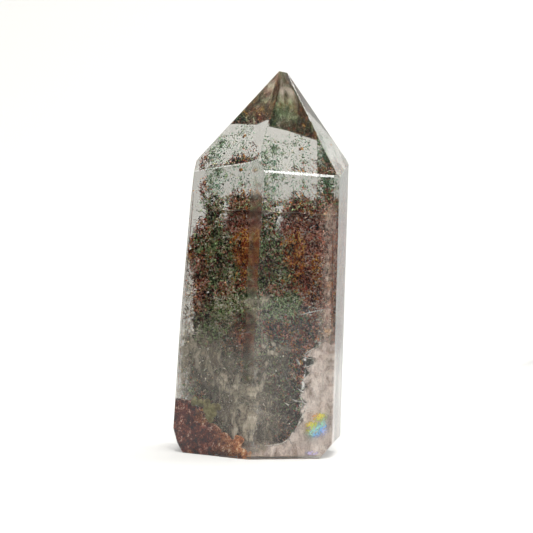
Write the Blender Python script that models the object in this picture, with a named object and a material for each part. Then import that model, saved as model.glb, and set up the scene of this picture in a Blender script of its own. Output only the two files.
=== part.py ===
"""A polished, six-sided point of chlorite quartz, standing on its ground base.

The crystal is one solid. It is sawn out of a block by its flats, one after another, the way a
lapidary grinds a point on a wheel. Then its edges are broken and a few small chips are knocked out.
Metres, +Z up. The front of the stone faces -Y. The origin is the middle of the base.
"""

import math

import bmesh
import bpy
from mathutils import Matrix, Vector

MM = 0.001

# The block that the flats are cut from, well outside the finished stone and down below its base.
BLOCK_SIDE = 80.0 * MM
BLOCK_HEIGHT = 100.0 * MM
BLOCK_BELOW_BASE = 10.0 * MM

# Each flat: the azimuth and the lean of its outward direction in degrees, and how far it lies
# from the origin. Azimuth 0 faces the front and +90 faces +X. A lean of 0 is an upright flat,
# and a positive lean faces upward.
PRISM_FLATS = {
    "left_front": (-37.0, 0.4, 14.45 * MM),
    "front_bevel": (-23.0, 0.4, 15.70 * MM),
    "right_front": (25.0, -0.4, 14.20 * MM),
    "right_bevel": (55.0, 0.5, 16.25 * MM),
    "right": (82.0, 0.4, 14.47 * MM),
    "right_rear": (137.5, -1.0, 14.30 * MM),
    "left_rear": (-164.5, 0.7, 14.95 * MM),
    "left_upper": (-96.5, 4.7, 16.53 * MM),
    "left_middle": (-96.5, 3.1, 15.31 * MM),
    "left_lower": (-96.5, 1.9, 14.85 * MM),
}
POINT_FLATS = {
    "left_front_slope": (-41.5, 33.0, 39.90 * MM),
    "right_front_slope": (25.5, 25.2, 34.85 * MM),
    "right_slope": (75.5, 29.6, 37.90 * MM),
    "right_rear_slope": (137.5, 48.9, 51.33 * MM),
    "rear_slope": (177.0, 51.7, 52.38 * MM),
    "left_rear_slope": (-175.5, 52.1, 52.58 * MM),
    "left_slope": (-98.5, 39.5, 42.92 * MM),
    "tip_flat": (-16.0, 46.0, 52.85 * MM),
}
# The narrow polished strip along the top of the right front flat.
SHOULDER_BEVEL_WIDTH = 0.45 * MM
BASE_FLAT = (0.0, -90.0, 0.0)
# The slanted flats that take off the lower corners, left and right.
CORNER_FLATS = {
    "left_corner_upper": (-90.0, -18.0, 13.44 * MM),
    "left_corner_lower": (-90.0, -31.9, 11.57 * MM),
    "right_corner": (83.0, -38.8, 9.55 * MM),
}

# Polishing wears each edge that is longer and sharper than these to a strip of the first width,
# and then wears the edges of that strip by the second.
SHORTEST_WORN_EDGE = 0.9 * MM
BLUNTEST_WORN_EDGE = math.radians(9.0)
EDGE_WEAR_WIDTHS = (0.22 * MM, 0.08 * MM)
# A corner this close to a flat lies on it, and corners that end up closer than the second are one.
FLAT_TOLERANCE = 0.0001 * MM
CORNER_MERGE = 0.004 * MM

# The chip in the rim of the blunt tip: how far along the rim from the left, radius and depth.
TIP_CHIP_ALONG = 0.36
TIP_CHIP_RADIUS = 0.9 * MM
TIP_CHIP_DEPTH = 0.10 * MM

# Small chips down the edge between the right flat and its bevel, given by their heights and radii.
RIGHT_CHIP_HEIGHTS = (4.4 * MM, 5.6 * MM, 7.3 * MM, 8.4 * MM, 10.6 * MM, 13.1 * MM)
RIGHT_CHIP_RADII = (0.50 * MM, 0.38 * MM, 0.55 * MM, 0.34 * MM, 0.42 * MM, 0.30 * MM)
RIGHT_CHIP_DEPTH = 0.12 * MM

# Nicks in the front rim of the base: how far along the rim from the left, and the radius.
BASE_NICK_ALONG = (0.22, 0.47, 0.81)
BASE_NICK_RADII = (0.70 * MM, 0.45 * MM, 0.60 * MM)
BASE_NICK_DEPTH = 0.14 * MM

SCOOP_SUBDIVISIONS = 2

QUARTZ_COLOUR = (0.55, 0.53, 0.46, 1.0)
QUARTZ_ROUGHNESS = 0.05
QUARTZ_IOR = 1.544
QUARTZ_TRANSMISSION = 0.9


def facing(azimuth_deg, lean_deg):
    """Unit vector that points out of a flat with this azimuth and lean."""
    azimuth = math.radians(azimuth_deg)
    lean = math.radians(lean_deg)
    return Vector(
        (
            math.sin(azimuth) * math.cos(lean),
            -math.cos(azimuth) * math.cos(lean),
            math.sin(lean),
        )
    )


def corner(*flats):
    """Point where three flats meet."""
    rows = Matrix([facing(azimuth, lean) for azimuth, lean, _ in flats])
    distances = Vector([distance for _, _, distance in flats])
    return rows.inverted() @ distances


def strip_between(flat, slope, end, width):
    """Flat of this width that takes off the edge between two others, at the same angle to both."""
    outward = (facing(*flat[:2]) + facing(*slope[:2])).normalized()
    half_turn = facing(*flat[:2]).angle(facing(*slope[:2])) / 2
    depth = width / 2 * math.tan(half_turn)
    return outward, outward.dot(corner(flat, slope, end)) - depth


def clear_scene():
    """Start from an empty scene."""
    for old in list(bpy.data.objects):
        bpy.data.objects.remove(old, do_unlink=True)


def rough_block(bm):
    """Add the block of quartz, sunk a little below the level of the base."""
    size = Matrix.Diagonal((BLOCK_SIDE, BLOCK_SIDE, BLOCK_HEIGHT, 1.0))
    lift = Matrix.Translation((0.0, 0.0, BLOCK_HEIGHT / 2 - BLOCK_BELOW_BASE))
    bmesh.ops.create_cube(bm, size=1.0, matrix=lift @ size)


def grind_flat(bm, outward, distance):
    """Take away everything beyond one flat and close the cut with a face."""
    cut = bmesh.ops.bisect_plane(
        bm,
        geom=bm.verts[:] + bm.edges[:] + bm.faces[:],
        dist=FLAT_TOLERANCE,
        plane_co=outward * distance,
        plane_no=outward,
        clear_outer=True,
    )
    rim = [item for item in cut["geom_cut"] if isinstance(item, bmesh.types.BMEdge)]
    bmesh.ops.contextual_create(bm, geom=rim)


def edge_strips(bm, width):
    """Planes of the narrow strips, this wide, that break the sharp edges of the stone."""
    strips = []
    for edge in bm.edges:
        if edge.calc_length() < SHORTEST_WORN_EDGE or edge.calc_face_angle() < BLUNTEST_WORN_EDGE:
            continue
        outward = (edge.link_faces[0].normal + edge.link_faces[1].normal).normalized()
        depth = width / 2 * math.tan(edge.calc_face_angle() / 2)
        strips.append((outward, outward.dot(edge.verts[0].co) - depth))
    return strips


def wear_edges(bm):
    """Break every long, sharp edge with a strip, then break that strip's own edges."""
    for width in EDGE_WEAR_WIDTHS:
        bm.normal_update()
        for outward, distance in edge_strips(bm, width):
            grind_flat(bm, outward, distance)


def ground_stone():
    """Mesh of the stone with all its flats and worn edges."""
    bm = bmesh.new()
    rough_block(bm)
    flats = (*PRISM_FLATS.values(), *POINT_FLATS.values(), *CORNER_FLATS.values(), BASE_FLAT)
    for azimuth, lean, distance in flats:
        grind_flat(bm, facing(azimuth, lean), distance)
    shoulder = strip_between(
        PRISM_FLATS["right_front"],
        POINT_FLATS["right_front_slope"],
        PRISM_FLATS["front_bevel"],
        SHOULDER_BEVEL_WIDTH,
    )
    grind_flat(bm, *shoulder)
    wear_edges(bm)
    bmesh.ops.remove_doubles(bm, verts=bm.verts[:], dist=CORNER_MERGE)
    bmesh.ops.recalc_face_normals(bm, faces=bm.faces[:])
    mesh = bpy.data.meshes.new("quartz_crystal")
    bm.to_mesh(mesh)
    bm.free()
    return mesh


def add_scoop(bm, edge_point, outward, radius, depth):
    """Add a ball that bites this deep into an edge."""
    centre = edge_point + outward * (radius - depth)
    bmesh.ops.create_icosphere(
        bm,
        subdivisions=SCOOP_SUBDIVISIONS,
        radius=radius,
        matrix=Matrix.Translation(centre),
    )


def add_tip_chip(bm):
    """The small dent in the blunt tip."""
    rear = POINT_FLATS["right_rear_slope"]
    tip = POINT_FLATS["tip_flat"]
    start = corner(rear, tip, POINT_FLATS["left_front_slope"])
    end = corner(rear, tip, POINT_FLATS["right_slope"])
    outward = (facing(*rear[:2]) + facing(*tip[:2])).normalized()
    point = start.lerp(end, TIP_CHIP_ALONG)
    add_scoop(bm, point, outward, TIP_CHIP_RADIUS, TIP_CHIP_DEPTH)


def add_right_chips(bm):
    """The row of small chips low on the edge between the right flat and its bevel."""
    bevel = PRISM_FLATS["right_bevel"]
    side = PRISM_FLATS["right"]
    low = corner(bevel, side, BASE_FLAT)
    high = corner(bevel, side, POINT_FLATS["right_slope"])
    outward = (facing(*bevel[:2]) + facing(*side[:2])).normalized()
    for height, radius in zip(RIGHT_CHIP_HEIGHTS, RIGHT_CHIP_RADII):
        point = low.lerp(high, height / high.z)
        add_scoop(bm, point, outward, radius, RIGHT_CHIP_DEPTH)


def add_base_nicks(bm):
    """A few nicks in the rim where the left front flat meets the base."""
    flat = PRISM_FLATS["left_front"]
    start = corner(flat, CORNER_FLATS["left_corner_lower"], BASE_FLAT)
    end = corner(flat, PRISM_FLATS["front_bevel"], BASE_FLAT)
    outward = (facing(*flat[:2]) + Vector((0.0, 0.0, -1.0))).normalized()
    for along, radius in zip(BASE_NICK_ALONG, BASE_NICK_RADII):
        add_scoop(bm, start.lerp(end, along), outward, radius, BASE_NICK_DEPTH)


def chip_cutter():
    """Hidden cutter that holds the scoops of all the chips."""
    bm = bmesh.new()
    add_tip_chip(bm)
    add_right_chips(bm)
    add_base_nicks(bm)
    mesh = bpy.data.meshes.new("chip_cutter")
    bm.to_mesh(mesh)
    bm.free()
    cutter = bpy.data.objects.new("chip_cutter", mesh)
    cutter.hide_render = True
    cutter.display_type = "WIRE"
    bpy.context.scene.collection.objects.link(cutter)
    return cutter


def quartz_material():
    """Clear quartz with a green-grey cast from the chlorite inside it."""
    material = bpy.data.materials.new("quartz")
    material.use_nodes = True
    shader = material.node_tree.nodes["Principled BSDF"]
    shader.inputs["Base Color"].default_value = QUARTZ_COLOUR
    shader.inputs["Roughness"].default_value = QUARTZ_ROUGHNESS
    shader.inputs["Metallic"].default_value = 0.0
    shader.inputs["IOR"].default_value = QUARTZ_IOR
    shader.inputs["Transmission Weight"].default_value = QUARTZ_TRANSMISSION
    return material


def build_crystal():
    """The whole stone."""
    crystal = bpy.data.objects.new("quartz_crystal", ground_stone())
    bpy.context.scene.collection.objects.link(crystal)
    crystal.data.materials.append(quartz_material())
    chips = crystal.modifiers.new("chips", "BOOLEAN")
    chips.operation = "DIFFERENCE"
    chips.solver = "EXACT"
    chips.object = chip_cutter()
    return crystal


clear_scene()
build_crystal()
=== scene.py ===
"""The looks of a polished point of chlorite quartz, standing on a pale floor in soft studio light.

The clear quartz is the frame's own solid, and it gets its finish here. What grew inside it is made
here as meshes: the bank of chlorite and iron oxide on the rear walls with its black pockets and
painted shade between its flakes, the dusted ledge on top of it, the milky healed fractures and
threads of bubbles in front of it, the rust-coloured clot and the lump of olive clay at the lower
left, the crack with a lip painted near-white for its mirror shine and rainbow colours at the lower
right, the milky root, the haze under the right flat, which is partly painted shade, and the iron
stains along the edges. Everything rides on the crystal. Metres, +Z up, front to -Y.
"""

from __future__ import annotations

import logging
import math
from dataclasses import dataclass, field, replace
from enum import Enum

import bmesh
import bpy
import numpy as np
from mathutils import Matrix, Vector, noise
from mathutils.bvhtree import BVHTree


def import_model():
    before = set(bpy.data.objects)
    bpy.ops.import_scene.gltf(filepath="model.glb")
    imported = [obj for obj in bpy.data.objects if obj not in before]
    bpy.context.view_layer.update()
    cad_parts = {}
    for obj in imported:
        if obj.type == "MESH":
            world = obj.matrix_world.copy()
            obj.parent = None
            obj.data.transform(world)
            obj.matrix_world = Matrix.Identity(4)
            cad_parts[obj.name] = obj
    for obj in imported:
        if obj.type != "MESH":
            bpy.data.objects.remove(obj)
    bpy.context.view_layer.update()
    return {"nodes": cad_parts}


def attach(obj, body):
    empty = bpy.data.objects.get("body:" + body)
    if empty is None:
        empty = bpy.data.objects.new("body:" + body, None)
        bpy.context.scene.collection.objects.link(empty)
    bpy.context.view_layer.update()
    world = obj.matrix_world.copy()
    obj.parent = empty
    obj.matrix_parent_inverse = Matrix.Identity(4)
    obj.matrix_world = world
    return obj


LOG = logging.getLogger("chlorite_quartz")

MM = 0.001
UP = Vector((0.0, 0.0, 1.0))
NODE = "quartz_crystal"
BODY = "root"
QUARTZ_IOR = 1.544

Pixel = tuple[float, float]
Range = tuple[float, float]
Triple = tuple[float, float, float]
Stops = tuple[tuple[float, str], ...]
Tree = bpy.types.NodeTree
Socket = bpy.types.NodeSocket


def link_object(name: str, data: bpy.types.ID) -> bpy.types.Object:
    """Make an object that shows this data, and put it in the scene."""
    thing = bpy.data.objects.new(name, data)
    bpy.context.scene.collection.objects.link(thing)
    return thing


# Shader nodes.


def linear_colour(code: str) -> tuple[float, float, float, float]:
    """Turn an sRGB hex colour into linear light.

    Args:
        code: Six hex digits, red first.

    Returns:
        Linear red, green, blue and an alpha of 1.
    """
    parts = [int(code[i : i + 2], 16) / 255 for i in (0, 2, 4)]
    values = [c / 12.92 if c <= 0.04045 else ((c + 0.055) / 1.055) ** 2.4 for c in parts]
    return (values[0], values[1], values[2], 1.0)


def feed(tree: Tree, socket: Socket, source: object) -> None:
    """Wire an output to an input, or set the input to a plain value."""
    if isinstance(source, Socket):
        tree.links.new(source, socket)
    else:
        socket.default_value = source


def add_node(tree: Tree, kind: str, settings: dict[str, object] | None = None) -> bpy.types.Node:
    """Add a shader node, set its values and wire its inputs.

    Args:
        tree: The tree that gets the node.
        kind: Blender's name for the node type.
        settings: A value or an output for each named input, and values of the node's properties.

    Returns:
        The new node.
    """
    node = tree.nodes.new(kind)
    for name, value in (settings or {}).items():
        if name in node.inputs:
            feed(tree, node.inputs[name], value)
        else:
            setattr(node, name, value)
    return node


def math_node(tree: Tree, operation: str, *values: Socket | float, clamp: bool = False) -> Socket:
    """Calculate with one or two values.

    Args:
        tree: The material's tree.
        operation: Blender's name for the sum.
        values: Plain values, or the outputs that give them.
        clamp: Whether the result stays between 0 and 1.

    Returns:
        The output with the result.
    """
    node = add_node(tree, "ShaderNodeMath", {"operation": operation, "use_clamp": clamp})
    for socket, value in zip(node.inputs, values):
        feed(tree, socket, value)
    return node.outputs[0]


def how_far(tree: Tree, value: Socket, middle: float) -> Socket:
    """How far a value is from a fixed one, on either side."""
    return math_node(tree, "ABSOLUTE", math_node(tree, "SUBTRACT", value, middle))


def vector_measure(
    tree: Tree, operation: str, vector: Socket, fixed: Triple | Vector
) -> Socket:
    """Dot product of a vector with a fixed one, or its distance from it."""
    node = add_node(tree, "ShaderNodeVectorMath", {"operation": operation, "Vector": vector})
    node.inputs[1].default_value = fixed
    return node.outputs["Value"]


def mesh_value(tree: Tree, label: str) -> Socket:
    """A value that is kept in the mesh."""
    return add_node(tree, "ShaderNodeAttribute", {"attribute_name": label}).outputs["Fac"]


def colour_ramp(tree: Tree, factor: Socket, stops: Stops) -> Socket:
    """Map a factor to colours.

    Args:
        tree: The material's tree.
        factor: The output that drives the ramp.
        stops: Place and sRGB hex colour of each stop, in order.

    Returns:
        The ramp's colour output.
    """
    ramp = add_node(tree, "ShaderNodeValToRGB", {"Fac": factor})
    elements = ramp.color_ramp.elements
    for element, (place, code) in zip(elements, (stops[0], stops[-1])):
        element.position = place
        element.color = linear_colour(code)
    for place, code in stops[1:-1]:
        elements.new(place).color = linear_colour(code)
    return ramp.outputs["Color"]


def mixed_colour(tree: Tree, share: Socket, first: object, second: object) -> Socket:
    """Colour between two others, which are outputs or linear colours."""
    mix = add_node(tree, "ShaderNodeMix", {"data_type": "RGBA"})
    for place, source in ((0, share), (6, first), (7, second)):
        feed(tree, mix.inputs[place], source)
    return mix.outputs[2]


def pattern(
    tree: Tree,
    grain: float,
    detail: float = 4.0,
    roughness: float = 0.6,
    distortion: float = 0.0,
    drawn_out: float = 1.0,
    slant_deg: float = 0.0,
) -> Socket:
    """Cloudy noise that is fixed to the piece.

    Args:
        tree: The material's tree.
        grain: Size of its largest blots in metres.
        detail: How many finer steps it has.
        roughness: How strong the finer steps are.
        distortion: How much it swirls.
        drawn_out: Factor on the height in it; a smaller one draws the blots out upwards.
        slant_deg: How far they lean over, as seen from the front.

    Returns:
        The noise, about 0.5 on the whole.
    """
    place = add_node(tree, "ShaderNodeTexCoord").outputs["Object"]
    turn = (0.0, math.radians(slant_deg), 0.0)
    mapping = add_node(
        tree,
        "ShaderNodeMapping",
        {"Scale": (1.0, 1.0, drawn_out), "Rotation": turn, "Vector": place},
    )
    cloud = add_node(
        tree,
        "ShaderNodeTexNoise",
        {
            "Scale": 1 / grain,
            "Detail": detail,
            "Roughness": roughness,
            "Distortion": distortion,
            "Vector": mapping.outputs["Vector"],
        },
    )
    return cloud.outputs["Fac"]


def spread_out(
    tree: Tree, value: Socket, low: float, high: float, to_low: float = 0.0, to_high: float = 1.0
) -> Socket:
    """Map a range of values to another, clamped at both ends."""
    settings = {"Value": value, "From Min": low, "From Max": high, "To Min": to_low, "To Max": to_high}
    return add_node(tree, "ShaderNodeMapRange", settings).outputs["Result"]


def principled(
    tree: Tree,
    colour: object,
    roughness: object,
    specular: float = 0.5,
    more: dict[str, object] | None = None,
) -> Socket:
    """Add the shader that most finishes end in.

    Args:
        tree: The material's tree.
        colour: An output or a linear colour.
        roughness: An output or a value.
        specular: How strongly it mirrors.
        more: A value or an output for other inputs, by name.

    Returns:
        The shader's output.
    """
    settings = {"Base Color": colour, "Roughness": roughness, "Specular IOR Level": specular}
    return add_node(tree, "ShaderNodeBsdfPrincipled", settings | (more or {})).outputs["BSDF"]


def see_through_where(tree: Tree, surface: Socket, cover: Socket, shader: Socket) -> None:
    """Wire a shader that covers only part of a sheet, and leave the rest of it clear."""
    clear = add_node(tree, "ShaderNodeBsdfTransparent")
    mix = add_node(tree, "ShaderNodeMixShader", {"Fac": cover})
    tree.links.new(clear.outputs["BSDF"], mix.inputs[1])
    tree.links.new(shader, mix.inputs[2])
    tree.links.new(mix.outputs["Shader"], surface)


# The camera and how it sees into the stone.


@dataclass(frozen=True)
class Viewpoint:
    """Where the photograph was taken from, and the lens. The roll leans the stone to the right."""

    place: Triple = (0.12 * MM, -359.77 * MM, 34.38 * MM)
    pitch_deg: float = 0.04
    yaw_deg: float = -0.04
    roll_deg: float = 2.02
    focal_px: float = 1947.92
    picture_px: float = 533.0
    sensor: float = 36.0

    def axes(self) -> tuple[Vector, Vector, Vector]:
        """Right, up and backward directions of the camera."""
        pitch = math.radians(self.pitch_deg)
        yaw = math.radians(self.yaw_deg)
        roll = math.radians(self.roll_deg)
        back = Vector(
            (math.sin(yaw) * math.cos(pitch), -math.cos(yaw) * math.cos(pitch), math.sin(pitch))
        )
        level = UP.cross(back).normalized()
        upright = back.cross(level)
        right = math.cos(roll) * level + math.sin(roll) * upright
        up = math.cos(roll) * upright - math.sin(roll) * level
        return right, up, back

    def ray(self, pixel: Pixel) -> Vector:
        """Direction of the line of sight through a pixel of the photograph."""
        right, up, back = self.axes()
        middle = self.picture_px / 2
        across = (pixel[0] - middle) / self.focal_px
        rise = (middle - pixel[1]) / self.focal_px
        return (right * across + up * rise - back).normalized()

    def build(self) -> None:
        """Make the camera and use it for the scene."""
        data = bpy.data.cameras.new("camera")
        data.sensor_width = self.sensor
        data.lens = self.focal_px / self.picture_px * self.sensor
        data.clip_start = 10 * MM
        data.clip_end = 20.0
        camera = link_object("camera", data)
        right, up, back = self.axes()
        turn = Matrix((right, up, back)).transposed().to_4x4()
        camera.matrix_world = Matrix.Translation(self.place) @ turn
        bpy.context.scene.camera = camera


@dataclass(frozen=True)
class SightLine:
    """What lies behind one pixel: the bent line of sight inside the quartz, up to the far wall."""

    entry: Vector
    heading: Vector
    length: float

    def behind_face(self, depth: float) -> Vector:
        """Point this deep behind the polished face."""
        return self.entry + self.heading * min(depth, self.length)

    def before_wall(self, gap: float) -> Vector:
        """Point this far in front of the far wall."""
        return self.entry + self.heading * max(self.length - gap, 0.0)


class CrystalBody:
    """The clear quartz as the frame gives it: its flats, and how light bends into it."""

    # Smaller faces are worn edges and chips. A line of sight goes on this far behind its entry.
    smallest_flat = 1.0 * MM * MM
    step_inside = 0.01 * MM

    def __init__(self, node: bpy.types.Object, viewpoint: Viewpoint) -> None:
        """Read the flats from the frame's solid.

        Args:
            node: The frame's crystal.
            viewpoint: Where the photograph was taken from.
        """
        self.node = node
        self.viewpoint = viewpoint
        mesh = node.data
        places = [v.co.copy() for v in mesh.vertices]
        self.tree = BVHTree.FromPolygons(places, [tuple(p.vertices) for p in mesh.polygons])
        big = [p for p in mesh.polygons if p.area > self.smallest_flat]
        self.outward = np.array([p.normal for p in big])
        self.distance = np.array([p.normal.dot(p.center) for p in big])

    def sight(self, pixel: Pixel) -> SightLine:
        """Follow the line of sight through a pixel into the stone.

        Args:
            pixel: Place in the photograph, on the stone.

        Returns:
            The bent line of sight inside the quartz.
        """
        start = Vector(self.viewpoint.place)
        ray = self.viewpoint.ray(pixel)
        entry, normal, _, _ = self.tree.ray_cast(start, ray)
        if entry is None:
            raise ValueError(f"the line of sight at {pixel} misses the stone")
        cosine = -ray.dot(normal)
        inner = math.sqrt(1 - (1 - cosine * cosine) / QUARTZ_IOR**2)
        heading = (ray / QUARTZ_IOR + normal * (cosine / QUARTZ_IOR - inner)).normalized()
        inside = entry + heading * self.step_inside
        wall, _, _, length = self.tree.ray_cast(inside, heading)
        return SightLine(entry, heading, length + self.step_inside if wall else 0.0)

    def depth_below_surface(self, points: np.ndarray) -> np.ndarray:
        """How deep points lie below the nearest flat, negative outside.

        Args:
            points: Array of places, with x, y and z along its last axis.

        Returns:
            The depth of each.
        """
        flat = points.reshape(-1, 3)
        depths = (self.distance - flat @ self.outward.T).min(axis=1)
        return depths.reshape(points.shape[:-1])


# Finishes.


def outward_direction(azimuth_deg: float, lean_deg: float) -> Vector:
    """Unit vector out of a flat: azimuth 0 faces the front, +90 faces +X, a positive lean is up."""
    azimuth = math.radians(azimuth_deg)
    lean = math.radians(lean_deg)
    level = math.cos(lean)
    return Vector((math.sin(azimuth) * level, -math.cos(azimuth) * level, math.sin(lean)))


class Finish:
    """What a surface is made of. Each kind wires its own nodes."""

    name: str

    def wire(self, tree: Tree, surface: Socket) -> None:
        """Add the nodes.

        Args:
            tree: The material's tree.
            surface: The surface input of its output.
        """
        raise NotImplementedError

    def build(self) -> bpy.types.Material:
        """Make the material, named for what the real surface is."""
        material = bpy.data.materials.new(self.name)
        material.use_nodes = True
        tree = material.node_tree
        tree.nodes.clear()
        output = add_node(tree, "ShaderNodeOutputMaterial")
        self.wire(tree, output.inputs["Surface"])
        return material


@dataclass(frozen=True)
class FrostedFlat:
    """A flat with a coarser polish: where it faces, how much its direction may vary, how rough."""

    azimuth_deg: float
    lean_deg: float
    spread_deg: float
    roughness: float


@dataclass(frozen=True)
class PolishedQuartz(Finish):
    """Rock crystal, ground flat and polished by hand.

    It is clear with a faint warm grey cast, glossy all over, and bends light strongly. The narrow
    front bevel and the right flat were left with a slightly frosted polish, so what lies behind
    them looks smeared, and the slopes at the rear of the point with a fine satin, so what they
    mirror looks soft. The base is only ground.
    """

    name: str = "polished_rock_crystal"
    tint: str = "c2c1bd"
    roughness: float = 0.0
    # The front bevel, the rear slopes, the right flat and the base.
    frosted_flats: tuple[FrostedFlat, ...] = (
        FrostedFlat(-23.0, 0.4, 3.0, 0.16),
        FrostedFlat(170.0, 50.0, 30.0, 0.1),
        FrostedFlat(82.0, 0.4, 3.0, 0.2),
        FrostedFlat(0.0, -90.0, 3.0, 0.3),
    )
    absorption_tint: str = "b8b6aa"
    absorption_per_metre: float = 5.0

    def frost(self, tree: Tree, normal: Socket, flat: FrostedFlat) -> Socket:
        """Roughness on one frosted flat, and that of the polish on the others."""
        outward = outward_direction(flat.azimuth_deg, flat.lean_deg)
        facing = vector_measure(tree, "DOT_PRODUCT", normal, outward)
        settings = {
            "Value": math_node(tree, "ABSOLUTE", facing),
            "From Min": math.cos(math.radians(flat.spread_deg)),
            "From Max": 1.0,
            "To Min": self.roughness,
            "To Max": flat.roughness,
            "interpolation_type": "STEPPED",
            "Steps": 1.0,
        }
        return add_node(tree, "ShaderNodeMapRange", settings).outputs["Result"]

    def wire(self, tree: Tree, surface: Socket) -> None:
        """Add the nodes. See Finish.wire."""
        normal = add_node(tree, "ShaderNodeNewGeometry").outputs["True Normal"]
        roughness: Socket | float = self.roughness
        for flat in self.frosted_flats:
            roughness = math_node(tree, "MAXIMUM", roughness, self.frost(tree, normal, flat))
        clear = {"IOR": QUARTZ_IOR, "Transmission Weight": 1.0}
        shader = principled(tree, linear_colour(self.tint), roughness, more=clear)
        tree.links.new(shader, surface)
        absorption = add_node(
            tree,
            "ShaderNodeVolumeAbsorption",
            {"Color": linear_colour(self.absorption_tint), "Density": self.absorption_per_metre},
        )
        tree.links.new(absorption.outputs["Volume"], surface.node.inputs["Volume"])


class Mineral(Enum):
    """The minerals of the garden, each by the dark, middle and light tone of its flakes."""

    CHLORITE = ("30461c", "6c9450", "d0e6ae")
    TEAL = ("68ae8c", "90d4b0", "dcf8e8")
    RUST = ("862a04", "e07820", "ffc470")
    RED = ("5e160c", "c85c48", "ffbca6")
    SOOT = ("140806", "2c1810", "4c3426")
    CLAY = ("c0ac90", "ecdec0", "fffaee")
    ROSE = ("b4705e", "e8ac9c", "ffe6da")
    SILT = ("443a30", "6e6456", "9c9484")


class Growth(Enum):
    """Kinds of growth: a name, the painted shade deep between its flakes, and its minerals by share.
    """

    # The second value of each is the dark colour of the painted shade between its flakes.
    LEAF = ("leaf_green", "241e10", {Mineral.CHLORITE: 0.88, Mineral.CLAY: 0.12})
    OLIVE = (
        "olive",
        "26180c",
        {Mineral.RED: 0.12, Mineral.RUST: 0.08, Mineral.CHLORITE: 0.62, Mineral.CLAY: 0.18},
    )
    DARK = (
        "dark_green",
        "20120a",
        {Mineral.SOOT: 0.2, Mineral.RED: 0.22, Mineral.CHLORITE: 0.43, Mineral.CLAY: 0.15},
    )
    ORANGE = ("orange", "2c0e04", {Mineral.SOOT: 0.06, Mineral.RED: 0.16, Mineral.RUST: 0.78})
    MAROON = (
        "maroon",
        "2a100a",
        {
            Mineral.SOOT: 0.12,
            Mineral.RED: 0.46,
            Mineral.RUST: 0.12,
            Mineral.ROSE: 0.2,
            Mineral.CLAY: 0.1,
        },
    )
    PINK = ("pink", "3a180e", {Mineral.RED: 0.55, Mineral.ROSE: 0.45})
    TEAL = (
        "teal",
        "28382c",
        {Mineral.TEAL: 0.55, Mineral.CHLORITE: 0.25, Mineral.CLAY: 0.2},
    )
    BROWN = ("brown", "200c06", {Mineral.SOOT: 0.15, Mineral.RED: 0.55, Mineral.RUST: 0.3})
    BLACK = ("black_brown", "140a06", {Mineral.SOOT: 0.48, Mineral.RED: 0.4, Mineral.RUST: 0.12})
    RUSTY = ("rusty", "2c0e04", {Mineral.SOOT: 0.15, Mineral.RED: 0.35, Mineral.RUST: 0.5})
    PLUME = ("pale_green", "3c4228", {Mineral.CHLORITE: 0.52, Mineral.CLAY: 0.48})
    GREY = (
        "grey_brown",
        "342a22",
        {Mineral.SOOT: 0.1, Mineral.RED: 0.08, Mineral.CHLORITE: 0.17, Mineral.SILT: 0.65},
    )
    SPRIG = (
        "clear_green",
        "48643c",
        {Mineral.CHLORITE: 0.4, Mineral.TEAL: 0.4, Mineral.CLAY: 0.2},
    )
    # White clay flakes that stand for glints: painted highlights.
    GLINT = ("white_glint", "8a8478", {Mineral.CLAY: 1.0})

    def slot(self) -> str:
        """Name of the material slot that suits it."""
        shares = self.value[2]
        rusty = sum(shares.get(mineral, 0.0) for mineral in (Mineral.RED, Mineral.RUST))
        return "iron_oxide" if rusty > 0.5 else "chlorite"


@dataclass(frozen=True)
class GrowthFinish(Finish):
    """Matt mineral flakes grown together. Each face has one tone, kept in the mesh. Low tones are
    painted shade, the dark colour between the flakes, and the others pick a mineral by its share and a
    shade of it."""

    growth: Growth
    roughness: float = 0.6
    specular: float = 0.1
    # The thin flakes in the clear part let light through.
    thin: tuple[Growth, ...] = (Growth.TEAL, Growth.SPRIG)
    thin_transmission: float = 0.93
    thin_ior: float = 1.08
    thin_roughness: float = 0.9
    # The lowest tones are painted shade between the flakes: its darkest colour, and the share of the
    # tone it takes.
    darkest_painted_shade: str = "120805"
    painted_shade_part: float = 0.25
    seam: float = 0.002
    # In the stretch of tones of one mineral: where it stops being dark, where it has its middle
    # tone, and where it starts being light.
    shades: Triple = (0.3, 0.52, 0.75)
    # Growth that is even in tone. In the others each mineral is mostly dark or mostly light.
    even: tuple[Growth, ...] = (Growth.GREY,)

    @property
    def name(self) -> str:
        """Name of the material."""
        return f"{self.growth.value[0]}_mineral_flakes"

    def stops(self) -> Stops:
        """Places and colours along the tone: the painted shade, then mineral by mineral."""
        _, deep, shares = self.growth.value
        start = self.painted_shade_part
        stops = [(0.0, self.darkest_painted_shade), (start - self.seam, deep)]
        for mineral, share in shares.items():
            dark, middle, light = mineral.value
            length = share * (1 - self.painted_shade_part)
            dark_end, halfway, light_start = (start + length * place for place in self.shades)
            stops += [(start + self.seam, dark), (halfway, middle)]
            stops.append((start + length - self.seam, light))
            if self.growth not in self.even:
                stops += [(dark_end, dark), (light_start, light)]
            start += length
        return tuple(sorted(stops))

    def wire(self, tree: Tree, surface: Socket) -> None:
        """Add the nodes. See Finish.wire."""
        colour = colour_ramp(tree, mesh_value(tree, "tone"), self.stops())
        more = {}
        if self.growth in self.thin:
            more["Transmission Weight"] = self.thin_transmission
            more["IOR"] = self.thin_ior
            more["Roughness"] = self.thin_roughness
        shader = principled(tree, colour, self.roughness, self.specular, more)
        tree.links.new(shader, surface)


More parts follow.
